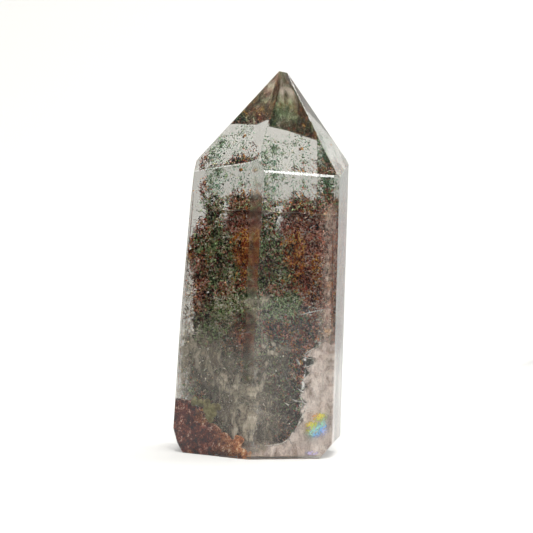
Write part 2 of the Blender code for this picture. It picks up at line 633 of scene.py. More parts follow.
@dataclass(frozen=True)
class MilkyFinish(Finish):
    """A healed fracture: a sheet of tiny fluid bubbles in the quartz, which scatter white light.

    How milky the sheet is at each corner is kept in its mesh, and wisps break it up.
    """

    name: str
    tones: tuple[str, str]
    wisp_grain: float = 1.2 * MM
    fine_grain: float = 0.3 * MM
    turn_deg: float = 35.0
    drawn_out: float = 0.6
    # Factors on the milk between the wisps and in them, and the noise where each begins.
    clearest: float = 0.25
    thickest: float = 1.6
    wisp_window: Range = (0.3, 0.62)
    # Values of the noise at the first tone and at the second.
    tone_window: Range = (0.35, 0.65)
    # Fine grain on all of it: window of the noise, and factors on the milk.
    fine_window: Range = (0.3, 0.7)
    fine_factors: Range = (0.7, 1.3)
    # Thin curved threads of bubbles: how far apart they run, how wide and how milky they are.
    thread_spacing: float = 3.0 * MM
    thread_width: float = 0.03
    thread_milk: float = 1.0
    roughness: float = 0.8
    specular: float = 0.1

    def threads(self, tree: Tree) -> Socket:
        """Where threads run: along the lines where a swirling noise has its middle value."""
        swirl = pattern(tree, self.thread_spacing, 2.0, 0.4, 1.2, self.drawn_out, -self.turn_deg)
        apart = how_far(tree, swirl, 0.5)
        return spread_out(tree, apart, 0.0, self.thread_width, self.thread_milk, 0.0)

    def wire(self, tree: Tree, surface: Socket) -> None:
        """Add the nodes. See Finish.wire."""
        wisps = pattern(tree, self.wisp_grain, 6.0, 0.65, 0.35, self.drawn_out, self.turn_deg)
        fine = pattern(tree, self.fine_grain, 3.0, 0.6)
        cloud = spread_out(tree, wisps, *self.wisp_window, self.clearest, self.thickest)
        cloud = math_node(tree, "ADD", cloud, self.threads(tree))
        cover = math_node(tree, "MULTIPLY", mesh_value(tree, "milk"), cloud, clamp=True)
        grain = spread_out(tree, fine, *self.fine_window, *self.fine_factors)
        cover = math_node(tree, "MULTIPLY", cover, grain, clamp=True)
        colour = colour_ramp(tree, wisps, tuple(zip(self.tone_window, self.tones)))
        shader = principled(tree, colour, self.roughness, self.specular)
        see_through_where(tree, surface, cover, shader)


@dataclass(frozen=True)
class ClotFinish(Finish):
    """Earthy iron oxide and clay, ground flat with the stone: mottled red-brown with pale grains."""

    name: str = "earthy_iron_oxide"
    broad_grain: float = 5.0 * MM
    blot_grain: float = 1.1 * MM
    grit_grain: float = 0.22 * MM
    grit_height: float = 0.1 * MM
    # How much the blots and the grit count in the shade, and where the blots begin and end.
    blot_share: float = 0.55
    grit_share: float = 0.45
    blot_window: Range = (0.3, 0.7)
    red: Stops = (
        (0.22, "1c0907"), (0.40, "460f08"), (0.54, "6c2214"), (0.68, "9c4e38"),
        (0.86, "f0ccb8"),
    )
    tan: Stops = (
        (0.22, "5c2810"), (0.45, "b06436"), (0.62, "dc9c66"), (0.80, "fce6c6"),
    )
    # X where the red mass begins to turn tan, and where it is all tan. It has tan patches too,
    # where the broad noise is between these.
    tan_from: float = -8.5 * MM
    tan_to: float = -3.5 * MM
    patch_window: Range = (0.54, 0.68)
    roughness: float = 0.7
    specular: float = 0.2

    def wire(self, tree: Tree, surface: Socket) -> None:
        """Add the nodes. See Finish.wire."""
        place = add_node(tree, "ShaderNodeTexCoord").outputs["Object"]
        grains = add_node(
            tree,
            "ShaderNodeTexVoronoi",
            {"Scale": 1 / self.grit_grain, "feature": "F1", "Vector": place},
        )
        blots = pattern(tree, self.blot_grain, 4.0, 0.6)
        shade = math_node(
            tree,
            "ADD",
            spread_out(tree, blots, *self.blot_window, 0.0, self.blot_share),
            spread_out(tree, grains.outputs["Color"], 0.0, 1.0, 0.0, self.grit_share),
        )
        across = add_node(tree, "ShaderNodeSeparateXYZ", {"Vector": place}).outputs["X"]
        patches = spread_out(tree, pattern(tree, self.broad_grain, 2.0), *self.patch_window)
        side = spread_out(tree, across, self.tan_from, self.tan_to)
        colour = mixed_colour(
            tree,
            math_node(tree, "MAXIMUM", patches, side),
            colour_ramp(tree, shade, self.red),
            colour_ramp(tree, shade, self.tan),
        )
        bump = add_node(
            tree,
            "ShaderNodeBump",
            {"Distance": self.grit_height, "Height": grains.outputs["Distance"]},
        )
        rough = {"Normal": bump.outputs["Normal"]}
        shader = principled(tree, colour, self.roughness, self.specular, rough)
        tree.links.new(shader, surface)


@dataclass(frozen=True)
class ClayFinish(Finish):
    """Smooth olive clay in small round lumps, mottled."""

    name: str = "olive_clay"
    grain: float = 0.9 * MM
    stops: Stops = ((0.3, "4a4426"), (0.5, "857c50"), (0.7, "b4ae7c"))
    roughness: float = 0.75
    specular: float = 0.2

    def wire(self, tree: Tree, surface: Socket) -> None:
        """Add the nodes. See Finish.wire."""
        colour = colour_ramp(tree, pattern(tree, self.grain, 4.0, 0.6), self.stops)
        tree.links.new(principled(tree, colour, self.roughness, self.specular), surface)


@dataclass(frozen=True)
class FilmFinish(Finish):
    """A thin film in a crack, streaky and partly clear.

    Attributes:
        name: The material's name.
        stops: Its colours from streak to streak.
        cover: How much it covers between the streaks and in them.
        grain: Size of the streaks.
        window: Values of the noise where a streak begins and where it is full.
        roughness: Of its surface.
        specular: How strongly it mirrors.
    """

    name: str
    stops: Stops
    cover: Range
    grain: float = 0.8 * MM
    window: Range = (0.36, 0.5)
    roughness: float = 0.35
    specular: float = 0.5

    def wire(self, tree: Tree, surface: Socket) -> None:
        """Add the nodes. See Finish.wire."""
        streaks = pattern(tree, self.grain, 4.0, 0.7)
        colour = colour_ramp(tree, streaks, self.stops)
        shader = principled(tree, colour, self.roughness, self.specular)
        cover = spread_out(tree, streaks, *self.window, *self.cover)
        see_through_where(tree, surface, cover, shader)


# Air in the lip of an open crack: its white mirror shine is painted in its near-white colours, a
# painted reflection.
AIR_FILM = FilmFinish("air_film_in_crack", ((0.35, "c8beb4"), (0.6, "fefbf6")), (0.15, 0.95))
# Rows of small fluid bubbles.
BUBBLES = FilmFinish("bubble_threads", ((0.35, "a09488"), (0.6, "dcd4ca")), (0.04, 0.4))
# Iron stain in a hairline crack: translucent and red-brown.
IRON_STAIN = FilmFinish(
    "iron_stain_film",
    ((0.35, "3a1c16"), (0.5, "70402c"), (0.65, "b4744a")),
    (0.15, 0.85),
    grain=0.9 * MM,
    roughness=0.6,
    specular=0.2,
)


@dataclass(frozen=True)
class RainbowFinish(Finish):
    """A crack so thin that its air film shows interference colours, broken up in small scales.

    How thick the film is and how well it shows are kept in the mesh.
    """

    name: str = "iridescent_air_film"
    stops: Stops = (
        (0.08, "d49a84"), (0.20, "e88438"), (0.33, "ffe03c"), (0.44, "d0e44c"),
        (0.54, "a8f4e4"), (0.66, "66b4ff"), (0.80, "bccaff"), (0.95, "dcccff"),
    )
    scale_grain: float = 0.55 * MM
    scale_window: Range = (0.2, 0.8)
    unevenness: float = 0.16
    drawn_out: float = 0.6
    slant_deg: float = 30.0
    flake_grain: float = 0.35 * MM
    flake_window: Range = (0.4, 0.55)
    flake_cover: Range = (0.25, 1.2)
    roughness: float = 0.4

    def wire(self, tree: Tree, surface: Socket) -> None:
        """Add the nodes. See Finish.wire."""
        scales = pattern(tree, self.scale_grain, 3.0, 0.6, 0.5, self.drawn_out, self.slant_deg)
        uneven = spread_out(tree, scales, *self.scale_window, -self.unevenness, self.unevenness)
        film = math_node(tree, "ADD", mesh_value(tree, "film"), uneven)
        shader = principled(tree, colour_ramp(tree, film, self.stops), self.roughness)
        flakes = pattern(tree, self.flake_grain, 2.0, 0.5)
        shown = spread_out(tree, flakes, *self.flake_window, *self.flake_cover)
        cover = math_node(tree, "MULTIPLY", mesh_value(tree, "milk"), shown, clamp=True)
        see_through_where(tree, surface, cover, shader)


@dataclass(frozen=True)
class PhantomFinish(Finish):
    """Fine chlorite, clay and iron oxide that settled on the crystal while it grew."""

    name: str = "phantom_dusting"
    # From the front of the ledge to its rear: clay, chlorite, iron oxide.
    stops: Stops = (
        (0.10, "f8e4dc"), (0.35, "f4ecd6"), (0.50, "faffdc"), (0.62, "f0f6c8"),
        (0.80, "b6b288"), (0.95, "a08a68"),
    )
    cloud_grain: float = 2.5 * MM
    cloud_window: Range = (0.3, 0.7)
    cloud_shift: float = 0.12
    fine_grain: float = 0.3 * MM
    fine_window: Range = (0.34, 0.52)
    fine_cover: Range = (0.55, 1.3)
    roughness: float = 0.8
    specular: float = 0.1

    def wire(self, tree: Tree, surface: Socket) -> None:
        """Add the nodes. See Finish.wire."""
        clouds = pattern(tree, self.cloud_grain, 3.0, 0.6)
        shift = spread_out(tree, clouds, *self.cloud_window, -self.cloud_shift, self.cloud_shift)
        rearward = math_node(tree, "ADD", mesh_value(tree, "rearward"), shift)
        colour = colour_ramp(tree, rearward, self.stops)
        shader = principled(tree, colour, self.roughness, self.specular)
        fine = pattern(tree, self.fine_grain, 3.0, 0.7)
        grain = spread_out(tree, fine, *self.fine_window, *self.fine_cover)
        cover = math_node(tree, "MULTIPLY", mesh_value(tree, "milk"), grain, clamp=True)
        see_through_where(tree, surface, cover, shader)


# Meshes.

# Lumps and flakes: how finely a lump is divided, its dents and stretch, and the same of a flake.
LUMP_DETAIL = 2
LUMP_DENTS = (0.72, 1.2)
LUMP_STRETCH = (0.6, 1.4)
SPLINTER = np.array([[1.0, 0.0, 0.0], [-0.8, 0.45, 0.1], [-0.7, -0.5, 0.1], [0.0, 0.0, -0.3]])
SPLINTER_FACES = np.array([[0, 1, 2], [0, 3, 1], [1, 3, 2], [2, 3, 0]])
SPLINTER_DENTS = (0.6, 1.3)
SPLINTER_STRETCH = (0.7, 1.35)

# Threads: pieces of the curve between two given points, thickness against width, and the width of
# the pointed ends against that of the middle.
ROUTE_STEPS = 6
THREAD_FLATNESS = 0.3
THREAD_TIP = 0.15


def ball_shape(detail: int) -> tuple[np.ndarray, np.ndarray]:
    """Corners and faces of a ball of radius 1.

    Args:
        detail: How finely it is divided.

    Returns:
        Corner places and the corner numbers of each face.
    """
    bm = bmesh.new()
    bmesh.ops.create_icosphere(bm, subdivisions=detail, radius=1.0)
    places = np.array([v.co for v in bm.verts])
    faces = np.array([[v.index for v in f.verts] for f in bm.faces])
    bm.free()
    return places, faces


def random_turns(count: int, random: np.random.Generator) -> np.ndarray:
    """Evenly spread random rotations.

    Args:
        count: How many.
        random: Where they come from.

    Returns:
        One 3 by 3 matrix each.
    """
    q = random.normal(size=(count, 4))
    q /= np.linalg.norm(q, axis=1, keepdims=True)
    w, x, y, z = q.T
    rows = [
        [1 - 2 * (y * y + z * z), 2 * (x * y - z * w), 2 * (x * z + y * w)],
        [2 * (x * y + z * w), 1 - 2 * (x * x + z * z), 2 * (y * z - x * w)],
        [2 * (x * z - y * w), 2 * (y * z + x * w), 1 - 2 * (x * x + y * y)],
    ]
    return np.moveaxis(np.array(rows), 2, 0)


def scattered_copies(
    shape: np.ndarray,
    faces: np.ndarray,
    places: list[np.ndarray],
    sizes: list[np.ndarray],
    dents: Range,
    stretch: Range,
    random: np.random.Generator,
) -> tuple[np.ndarray, np.ndarray]:
    """Copy a shape to many places, each copy turned, stretched and dented in its own way.

    Args:
        shape: Corners of the shape.
        faces: Its triangles.
        places: Where the copies go.
        sizes: How large they are.
        dents: Lowest and highest factor on a corner's distance from the middle.
        stretch: Lowest and highest factor along each axis.
        random: Where the differences come from.

    Returns:
        Corners and triangles of all copies.
    """
    middles = np.concatenate([np.zeros((0, 3)), *places])
    radii = np.concatenate([np.zeros(0), *sizes])
    count = len(middles)
    copies = shape * random.uniform(*dents, (count, len(shape), 1))
    copies = copies * random.uniform(*stretch, (count, 1, 3))
    points = np.einsum("nij,nkj->nki", random_turns(count, random), copies)
    points = points * radii[:, None, None] + middles[:, None, :]
    numbers = faces + len(shape) * np.arange(count)[:, None, None]
    return points.reshape(-1, 3), numbers.reshape(-1, 3)


def mesh_object(
    name: str,
    points: np.ndarray,
    faces: np.ndarray,
    material: bpy.types.Material,
    values: dict[str, tuple[str, np.ndarray]],
) -> bpy.types.Object:
    """Make an object of faces that all have as many corners.

    Args:
        name: The object's name.
        points: Places of the corners, one a row.
        faces: Corner numbers of the faces, one face a row.
        material: Its finish.
        values: Domain, FACE or POINT, and values of each attribute that the material reads.

    Returns:
        The object, linked to the scene.
    """
    mesh = bpy.data.meshes.new(name)
    mesh.vertices.add(len(points))
    mesh.vertices.foreach_set("co", points.astype(np.float32).ravel())
    mesh.loops.add(faces.size)
    mesh.loops.foreach_set("vertex_index", faces.astype(np.int32).ravel())
    mesh.polygons.add(len(faces))
    starts = np.arange(0, faces.size, faces.shape[1], dtype=np.int32)
    mesh.polygons.foreach_set("loop_start", starts)
    for label, (domain, numbers) in values.items():
        attribute = mesh.attributes.new(label, "FLOAT", domain)
        attribute.data.foreach_set("value", numbers.astype(np.float32))
    mesh.update(calc_edges=True)
    mesh.materials.append(material)
    return link_object(name, mesh)


def waver(places: np.ndarray, length: float) -> np.ndarray:
    """Smooth noise at places.

    Args:
        places: Array of places, with x, y and z along its last axis.
        length: How long its waves are.

    Returns:
        A value about 0 for each place.
    """
    waves = [noise.noise(Vector(place) / length) for place in places.reshape(-1, 3)]
    return np.array(waves).reshape(places.shape[:-1])


def sheet_object(
    name: str,
    places: np.ndarray,
    values: dict[str, np.ndarray],
    kept: np.ndarray,
    material: bpy.types.Material,
) -> bpy.types.Object:
    """Make a smooth sheet from a grid of places.

    Args:
        name: The object's name.
        places: Rows by columns of places.
        values: Rows by columns of values that the material reads, by attribute name.
        kept: Rows by columns of truth: a cell stays where all of its corners are kept.
        material: Its finish.

    Returns:
        The object, linked to the scene.
    """
    rows, columns = kept.shape
    numbers = np.arange(rows * columns).reshape(rows, columns)
    corners = (numbers[:-1, :-1], numbers[:-1, 1:], numbers[1:, 1:], numbers[1:, :-1])
    cells = np.stack([corner.ravel() for corner in corners], axis=1)
    cells = cells[kept.ravel()[cells].all(axis=1)]
    used, cells = np.unique(cells, return_inverse=True)
    attributes = {label: ("POINT", grid.ravel()[used]) for label, grid in values.items()}
    points = places.reshape(-1, 3)[used]
    piece = mesh_object(name, points, cells.reshape(-1, 4), material, attributes)
    piece.data.shade_smooth()
    return piece


def smooth_route(points: list[Vector]) -> list[Vector]:
    """Smooth curve through points.

    Args:
        points: The points, in order.

    Returns:
        Places along the curve, with both ends.
    """
    padded = [points[0], *points, points[-1]]
    route = []
    for first, start, end, last in zip(padded, padded[1:], padded[2:], padded[3:]):
        for step in range(ROUTE_STEPS):
            t = step / ROUTE_STEPS
            twice = (
                2 * start
                + (end - first) * t
                + (2 * first - 5 * start + 4 * end - last) * t * t
                + (3 * start - first - 3 * end + last) * t**3
            )
            route.append(0.5 * twice)
    route.append(points[-1])
    return route


def box_sides(start: int) -> list[tuple[int, int, int, int]]:
    """Faces between one ring of four corners, numbered from the start, and the next ring."""
    return [
        (start + corner, start + (corner + 1) % 4, start + (corner + 1) % 4 + 4, start + corner + 4)
        for corner in range(4)
    ]


def ribbon_object(
    name: str,
    routes: list[tuple[list[Vector], float]],
    material: bpy.types.Material,
) -> bpy.types.Object:
    """Make flat threads with pointed ends.

    Args:
        name: The object's name.
        routes: Places along each thread, and its half width.
        material: Their finish.

    Returns:
        The object, linked to the scene.
    """
    points: list[Vector] = []
    faces: list[tuple[int, int, int, int]] = []
    deep = Vector((0.0, 1.0, 0.0))
    for route, half_width in routes:
        last = len(route) - 1
        for place, point in enumerate(route):
            along = (route[min(place + 1, last)] - route[max(place - 1, 0)]).normalized()
            side = along.cross(deep).normalized()
            swell = math.sin(math.pi * place / last) ** 0.5
            taper = half_width * (THREAD_TIP + (1 - THREAD_TIP) * swell)
            start = len(points)
            points.extend(
                (
                    point + side * taper,
                    point + deep * taper * THREAD_FLATNESS,
                    point - side * taper,
                    point - deep * taper * THREAD_FLATNESS,
                )
            )
            if place < last:
                faces += box_sides(start)
        first = len(points) - 4 * len(route)
        faces.append((first + 3, first + 2, first + 1, first))
        faces.append((start, start + 1, start + 2, start + 3))
    return mesh_object(name, np.array(points), np.array(faces), material, {})


# The garden of tufts and loose flakes.


@dataclass(frozen=True)
class Tuft:
    """One patch of growth.

    Attributes:
        seen: Pixel of the photograph at its middle.
        across: Half its width.
        tall: Half its height.
        growth: What it is made of.
        lumps: How thick its small lumps stand, where 1 covers it.
        deep: How thick the large lumps behind them stand, where 1 covers it.
        loose: How thick its single flakes stand, where 1 covers it.
        gap: Distance from the far wall, or None for the front of the bank.
        depth: Distance behind the polished face, which then counts instead of the gap.
        fine: Factor on the length of its flakes.
    """

    seen: Pixel
    across: float
    tall: float
    growth: Growth
    lumps: float = 1.0
    deep: float = 1.0
    loose: float = 1.0
    gap: float | None = None
    depth: float | None = None
    fine: float = 1.0


def tuft(x: float, y: float, across: float, tall: float, growth: Growth, **more: float) -> Tuft:
    """Short form of a tuft, with its half sizes, gap and depth in millimetres."""
    for distance in ("gap", "depth"):
        if distance in more:
            more[distance] *= MM
    return Tuft((x, y), across * MM, tall * MM, growth, **more)


def dust(
    x: float, y: float, across: float, tall: float, growth: Growth, loose: float, **more: float
) -> Tuft:
    """Short form of a patch of single flakes, in millimetres like a tuft."""
    return tuft(x, y, across, tall, growth, lumps=0.0, deep=0.0, loose=loose, **more)


LEAF, OLIVE, DARK, ORANGE, MAROON, PINK, TEAL, BROWN, BLACK, RUSTY, PLUME, GREY, SPRIG, GLINT = Growth

# Tufts as they show through the left front flat, from the top down.
LEFT_TUFTS = (
    dust(221, 173, 1.2, 0.9, SPRIG, 1.2, gap=1.8, fine=0.75),
    dust(218, 180, 1.5, 1.2, TEAL, 0.45, gap=1.8, fine=0.8),
    dust(212, 172, 0.9, 0.7, SPRIG, 0.6, gap=1.4, fine=0.75),
    dust(203, 188, 0.7, 1.6, BROWN, 1.0),
    dust(194, 189, 1.4, 0.5, BROWN, 0.25),
    dust(211, 196, 1.3, 0.7, DARK, 0.5),
    dust(224, 198, 1.8, 0.7, TEAL, 0.25),
    dust(244, 191, 1.0, 1.0, BROWN, 0.35),
    dust(238, 194, 1.5, 0.8, BROWN, 0.5),
    dust(239, 199, 1.7, 0.5, RUSTY, 0.8, gap=2.4),
    dust(224, 201, 1.4, 0.4, RUSTY, 0.5, gap=2.4),
    dust(213, 206, 1.0, 0.6, DARK, 1.0, gap=6.0),
    dust(240, 205, 1.5, 0.5, DARK, 1.0, gap=6.0),
    tuft(212, 203, 1.5, 1.2, DARK, lumps=0.5, deep=0.2),
    tuft(211, 217, 1.2, 1.8, DARK, deep=0.6),
    tuft(220, 213, 0.8, 2.2, OLIVE, lumps=0.6, deep=0.3),
    dust(199, 207, 0.9, 0.9, TEAL, 0.3),
    tuft(244, 198, 1.2, 0.8, BROWN, lumps=0.6, deep=0.4, loose=0.7),
    tuft(236, 200, 1.5, 0.7, DARK, lumps=0.5, deep=0.3, loose=0.7),
    tuft(244, 208, 1.3, 1.3, ORANGE),
    tuft(236, 207, 1.5, 1.0, BROWN, lumps=0.8),
    tuft(236, 221, 2.0, 2.0, PINK),
    tuft(249, 219, 0.7, 1.6, ORANGE),
    tuft(202, 231, 1.4, 1.8, MAROON, lumps=0.7, deep=0.5),
    tuft(214, 232, 1.9, 2.2, OLIVE),
    tuft(208, 242, 1.7, 1.6, LEAF),
    tuft(222, 245, 2.2, 2.4, DARK),
    tuft(234, 238, 1.2, 1.8, OLIVE),
    tuft(240, 247, 1.7, 2.6, ORANGE, lumps=0.7, deep=0.3, gap=7.0),
    tuft(244, 262, 1.2, 1.9, ORANGE, lumps=0.7, deep=0.3, gap=7.0),
    tuft(245, 254, 1.6, 2.4, BROWN),
    tuft(191, 249, 0.5, 2.0, ORANGE, deep=0.0),
    tuft(196, 246, 0.9, 2.0, OLIVE, deep=0.3),
    tuft(194, 262, 0.9, 1.8, MAROON, deep=0.3),
    tuft(204, 272, 1.8, 1.2, DARK),
    tuft(219, 272, 1.8, 1.2, OLIVE),
    tuft(201, 256, 2.0, 2.6, OLIVE),
    tuft(217, 260, 2.4, 2.4, DARK),
    tuft(230, 259, 1.8, 2.2, OLIVE),
    tuft(231, 271, 1.8, 1.3, LEAF),
    tuft(211, 279, 1.0, 0.8, LEAF),
    tuft(200, 279, 1.4, 3.2, MAROON),
    tuft(243, 277, 1.2, 1.2, BROWN),
    tuft(224, 282, 2.4, 1.3, OLIVE),
    tuft(207, 293, 2.0, 1.8, DARK),
    tuft(222, 291, 2.0, 1.1, MAROON),
    tuft(240, 288, 1.5, 1.3, OLIVE),
    tuft(199, 301, 1.1, 1.5, MAROON),
    tuft(205, 313, 1.9, 2.0, DARK),
    tuft(232, 299, 2.6, 1.4, LEAF),
    tuft(218, 310, 1.9, 1.6, OLIVE),
    tuft(233, 314, 2.2, 1.6, DARK),
    tuft(248, 312, 1.2, 1.8, OLIVE),
    tuft(222, 324, 2.2, 1.6, DARK),
    tuft(209, 335, 2.0, 1.8, DARK),
    tuft(197, 345, 1.4, 1.6, OLIVE),
    tuft(240, 325, 1.6, 1.6, BROWN),
    tuft(248, 333, 0.9, 1.5, MAROON),
    tuft(240, 330, 1.0, 1.0, BLACK, deep=0.6),
    tuft(240, 264, 0.6, 0.9, BLACK),
    tuft(244, 282, 0.8, 0.5, BLACK),
    tuft(224, 336, 1.5, 1.1, DARK),
    tuft(199, 322, 1.0, 1.9, DARK),
    tuft(212, 350, 2.2, 1.5, DARK),
    tuft(206, 361, 1.5, 1.5, OLIVE, deep=0.5),
    tuft(235, 346, 2.4, 1.6, BROWN, loose=0.5),
    tuft(194, 385, 1.2, 1.3, OLIVE, lumps=0.7, deep=0.3),
    tuft(191, 357, 1.2, 1.6, GREY, lumps=0.7, deep=0.4, loose=0.5),
    tuft(196, 372, 1.6, 1.6, GREY, loose=0.4),
    tuft(203, 384, 1.8, 1.8, GREY, loose=0.4),
    tuft(197, 397, 1.5, 1.2, OLIVE, loose=0.5),
    tuft(201, 411, 1.3, 1.6, BROWN, loose=0.4),
    tuft(219, 418, 1.8, 1.6, DARK, loose=0.4),
    tuft(222, 370, 3.8, 3.0, GREY, loose=0.35),
    tuft(243, 366, 1.6, 2.6, GREY, loose=0.35),
    tuft(222, 395, 4.4, 2.2, GREY, loose=0.3),
    tuft(236, 416, 3.2, 2.6, GREY, loose=0.3),
    tuft(222, 434, 3.6, 2.6, BROWN, loose=0.3),
    tuft(247, 438, 2.2, 2.2, GREY, loose=0.3),
)

# Tufts further right than the left flat shows, seen through the right front flat.
RIGHT_TUFTS = (
    dust(314, 185, 0.4, 0.3, BROWN, 2.0, gap=0.6),
    dust(313, 199, 1.6, 0.6, DARK, 0.4),
    dust(298, 201, 1.4, 0.7, DARK, 0.4),
    dust(307, 207, 2.2, 0.5, DARK, 1.0, gap=6.0),
    tuft(314, 206, 1.5, 0.9, DARK, lumps=0.5, deep=0.2),
    dust(291, 202, 2.4, 0.4, PLUME, 1.8, gap=1.2),
    dust(310, 203, 2.2, 0.4, PLUME, 1.4, gap=1.2),
    tuft(311, 215, 1.6, 1.5, MAROON, deep=0.6),
    tuft(289, 214, 1.2, 1.0, DARK, lumps=0.5, deep=0.3),
    tuft(289, 229, 1.3, 1.8, PINK),
    tuft(302, 219, 1.3, 1.5, MAROON, deep=0.5),
    tuft(311, 229, 1.8, 1.9, PINK),
    tuft(313, 244, 1.6, 1.8, MAROON),
    tuft(298, 246, 1.2, 1.5, ORANGE),
    tuft(302, 256, 1.4, 1.6, MAROON),
    tuft(313, 257, 1.3, 1.5, PINK),
    tuft(316, 270, 0.9, 1.9, ORANGE),
    tuft(306, 270, 1.6, 1.8, PINK),
    tuft(296, 268, 1.3, 2.0, BROWN),
    tuft(297, 283, 1.6, 1.6, BROWN),
    tuft(308, 286, 1.8, 1.8, MAROON),
    tuft(314, 295, 1.5, 2.8, MAROON),
    tuft(308, 312, 2.0, 2.2, MAROON),
    tuft(302, 330, 2.0, 2.2, DARK),
    tuft(275, 330, 1.8, 1.5, BLACK, deep=0.6),
    tuft(291, 323, 1.0, 1.1, BLACK, deep=0.6),
    tuft(301, 213, 0.9, 0.9, BLACK, deep=0.6),
    tuft(305, 279, 0.6, 0.6, BLACK),
    tuft(311, 331, 1.4, 2.0, BROWN),
    tuft(299, 346, 2.0, 1.6, MAROON),
    tuft(288, 360, 2.6, 2.4, GREY, loose=0.45),
    tuft(296, 372, 1.2, 2.4, BROWN),
    tuft(281, 382, 3.0, 2.6, OLIVE, loose=0.35),
    tuft(295, 392, 1.0, 1.6, GREY),
    tuft(284, 408, 3.0, 2.4, DARK, loose=0.35),
    tuft(280, 426, 2.6, 2.0, DARK, loose=0.35),
    tuft(270, 400, 1.6, 2.6, GREY, loose=0.3),
    tuft(268, 432, 1.6, 1.6, GREY, loose=0.3),
)

# Fine growth well in front of the bank: the pale green plume with its fringe, and specks, among them
# white flakes that are painted highlights.
FRONT_DUST = (
    dust(234, 303, 2.6, 1.3, PLUME, 1.4, depth=2.8),
    dust(220, 312, 1.8, 1.1, PLUME, 1.3, depth=2.8),
    dust(220, 323, 2.0, 1.5, PLUME, 1.0, depth=3.6),
    dust(209, 333, 2.0, 1.4, LEAF, 1.2, depth=4.0),
    dust(198, 343, 1.4, 1.3, LEAF, 0.9, depth=4.0),
    dust(272, 303, 2.0, 1.2, LEAF, 0.9, depth=2.6),
    dust(286, 306, 2.0, 1.3, LEAF, 0.9, depth=2.6),
    dust(288, 302, 1.6, 0.8, PLUME, 0.8, depth=2.4),
    dust(283, 315, 1.4, 1.0, LEAF, 0.6, depth=3.6),
    dust(320, 300, 1.6, 6.0, GLINT, 0.12, gap=5.0),
    dust(322, 235, 1.5, 5.0, PINK, 0.5, gap=3.0),
    dust(321, 300, 1.4, 5.0, PINK, 0.5, gap=3.0),
    dust(325, 330, 1.2, 3.0, GLINT, 0.4, gap=3.0),
    dust(215, 250, 4.0, 8.0, GLINT, 0.02, gap=7.0),
    dust(290, 250, 5.0, 8.0, GLINT, 0.02, gap=7.0),
    dust(220, 385, 5.0, 6.0, GLINT, 0.05, depth=3.0),
    dust(275, 385, 3.0, 6.0, GLINT, 0.04, depth=3.0),
    dust(188, 330, 0.9, 8.0, GLINT, 0.3, depth=2.0),
    dust(188, 370, 1.0, 6.0, OLIVE, 0.5, depth=3.0),
    dust(189, 300, 0.6, 6.0, PINK, 0.4, depth=3.0),
)

# Loose flakes in the clear part above the bank, seen through the flats and the slopes above them.
CLEAR_DUST = (
    dust(230, 185, 3.6, 1.9, TEAL, 0.12, gap=1.2, fine=0.8),
    dust(212, 190, 2.0, 1.2, TEAL, 0.25, gap=1.4, fine=0.8),
    dust(271, 186, 1.4, 1.5, SPRIG, 0.7, gap=0.8, fine=0.75),
    dust(273, 193, 1.4, 1.0, TEAL, 0.4, gap=0.9, fine=0.8),
    dust(303, 188, 1.2, 2.0, TEAL, 0.55, gap=0.8, fine=0.75),
    dust(288, 190, 2.6, 1.8, TEAL, 0.25, gap=0.8, fine=0.8),
    dust(322, 192, 1.5, 1.2, PINK, 0.2, gap=0.8, fine=0.8),
    dust(316, 197, 1.8, 0.7, BROWN, 0.2, gap=0.8, fine=0.8),
    dust(267, 148, 1.3, 2.0, SPRIG, 0.9, gap=1.0, fine=0.75),
    dust(270, 160, 1.4, 1.4, SPRIG, 0.5, gap=1.0, fine=0.8),
    dust(303, 150, 1.0, 2.6, TEAL, 0.7, gap=0.8, fine=0.75),
    dust(288, 139, 3.4, 0.9, TEAL, 0.4, gap=0.8, fine=0.8),
    dust(286, 152, 3.4, 2.4, TEAL, 0.15, gap=0.8, fine=0.8),
    dust(313, 150, 1.3, 2.0, TEAL, 0.2, gap=0.8, fine=0.8),
    dust(319, 166, 1.6, 0.7, RUSTY, 0.35, gap=0.8, fine=0.8),
    dust(228, 138, 2.6, 0.9, TEAL, 0.3, gap=0.8, fine=0.8),
    dust(218, 146, 1.2, 1.2, SPRIG, 1.3, gap=1.0, fine=0.75),
    dust(209, 155, 1.3, 1.0, SPRIG, 1.0, gap=1.0, fine=0.75),
    dust(204, 161, 1.2, 0.7, RUSTY, 0.7, gap=1.0, fine=0.8),
    dust(250, 172, 0.7, 0.3, TEAL, 0.4, gap=1.6),
    dust(255, 170, 0.4, 0.2, ORANGE, 1.6, gap=1.6),
)


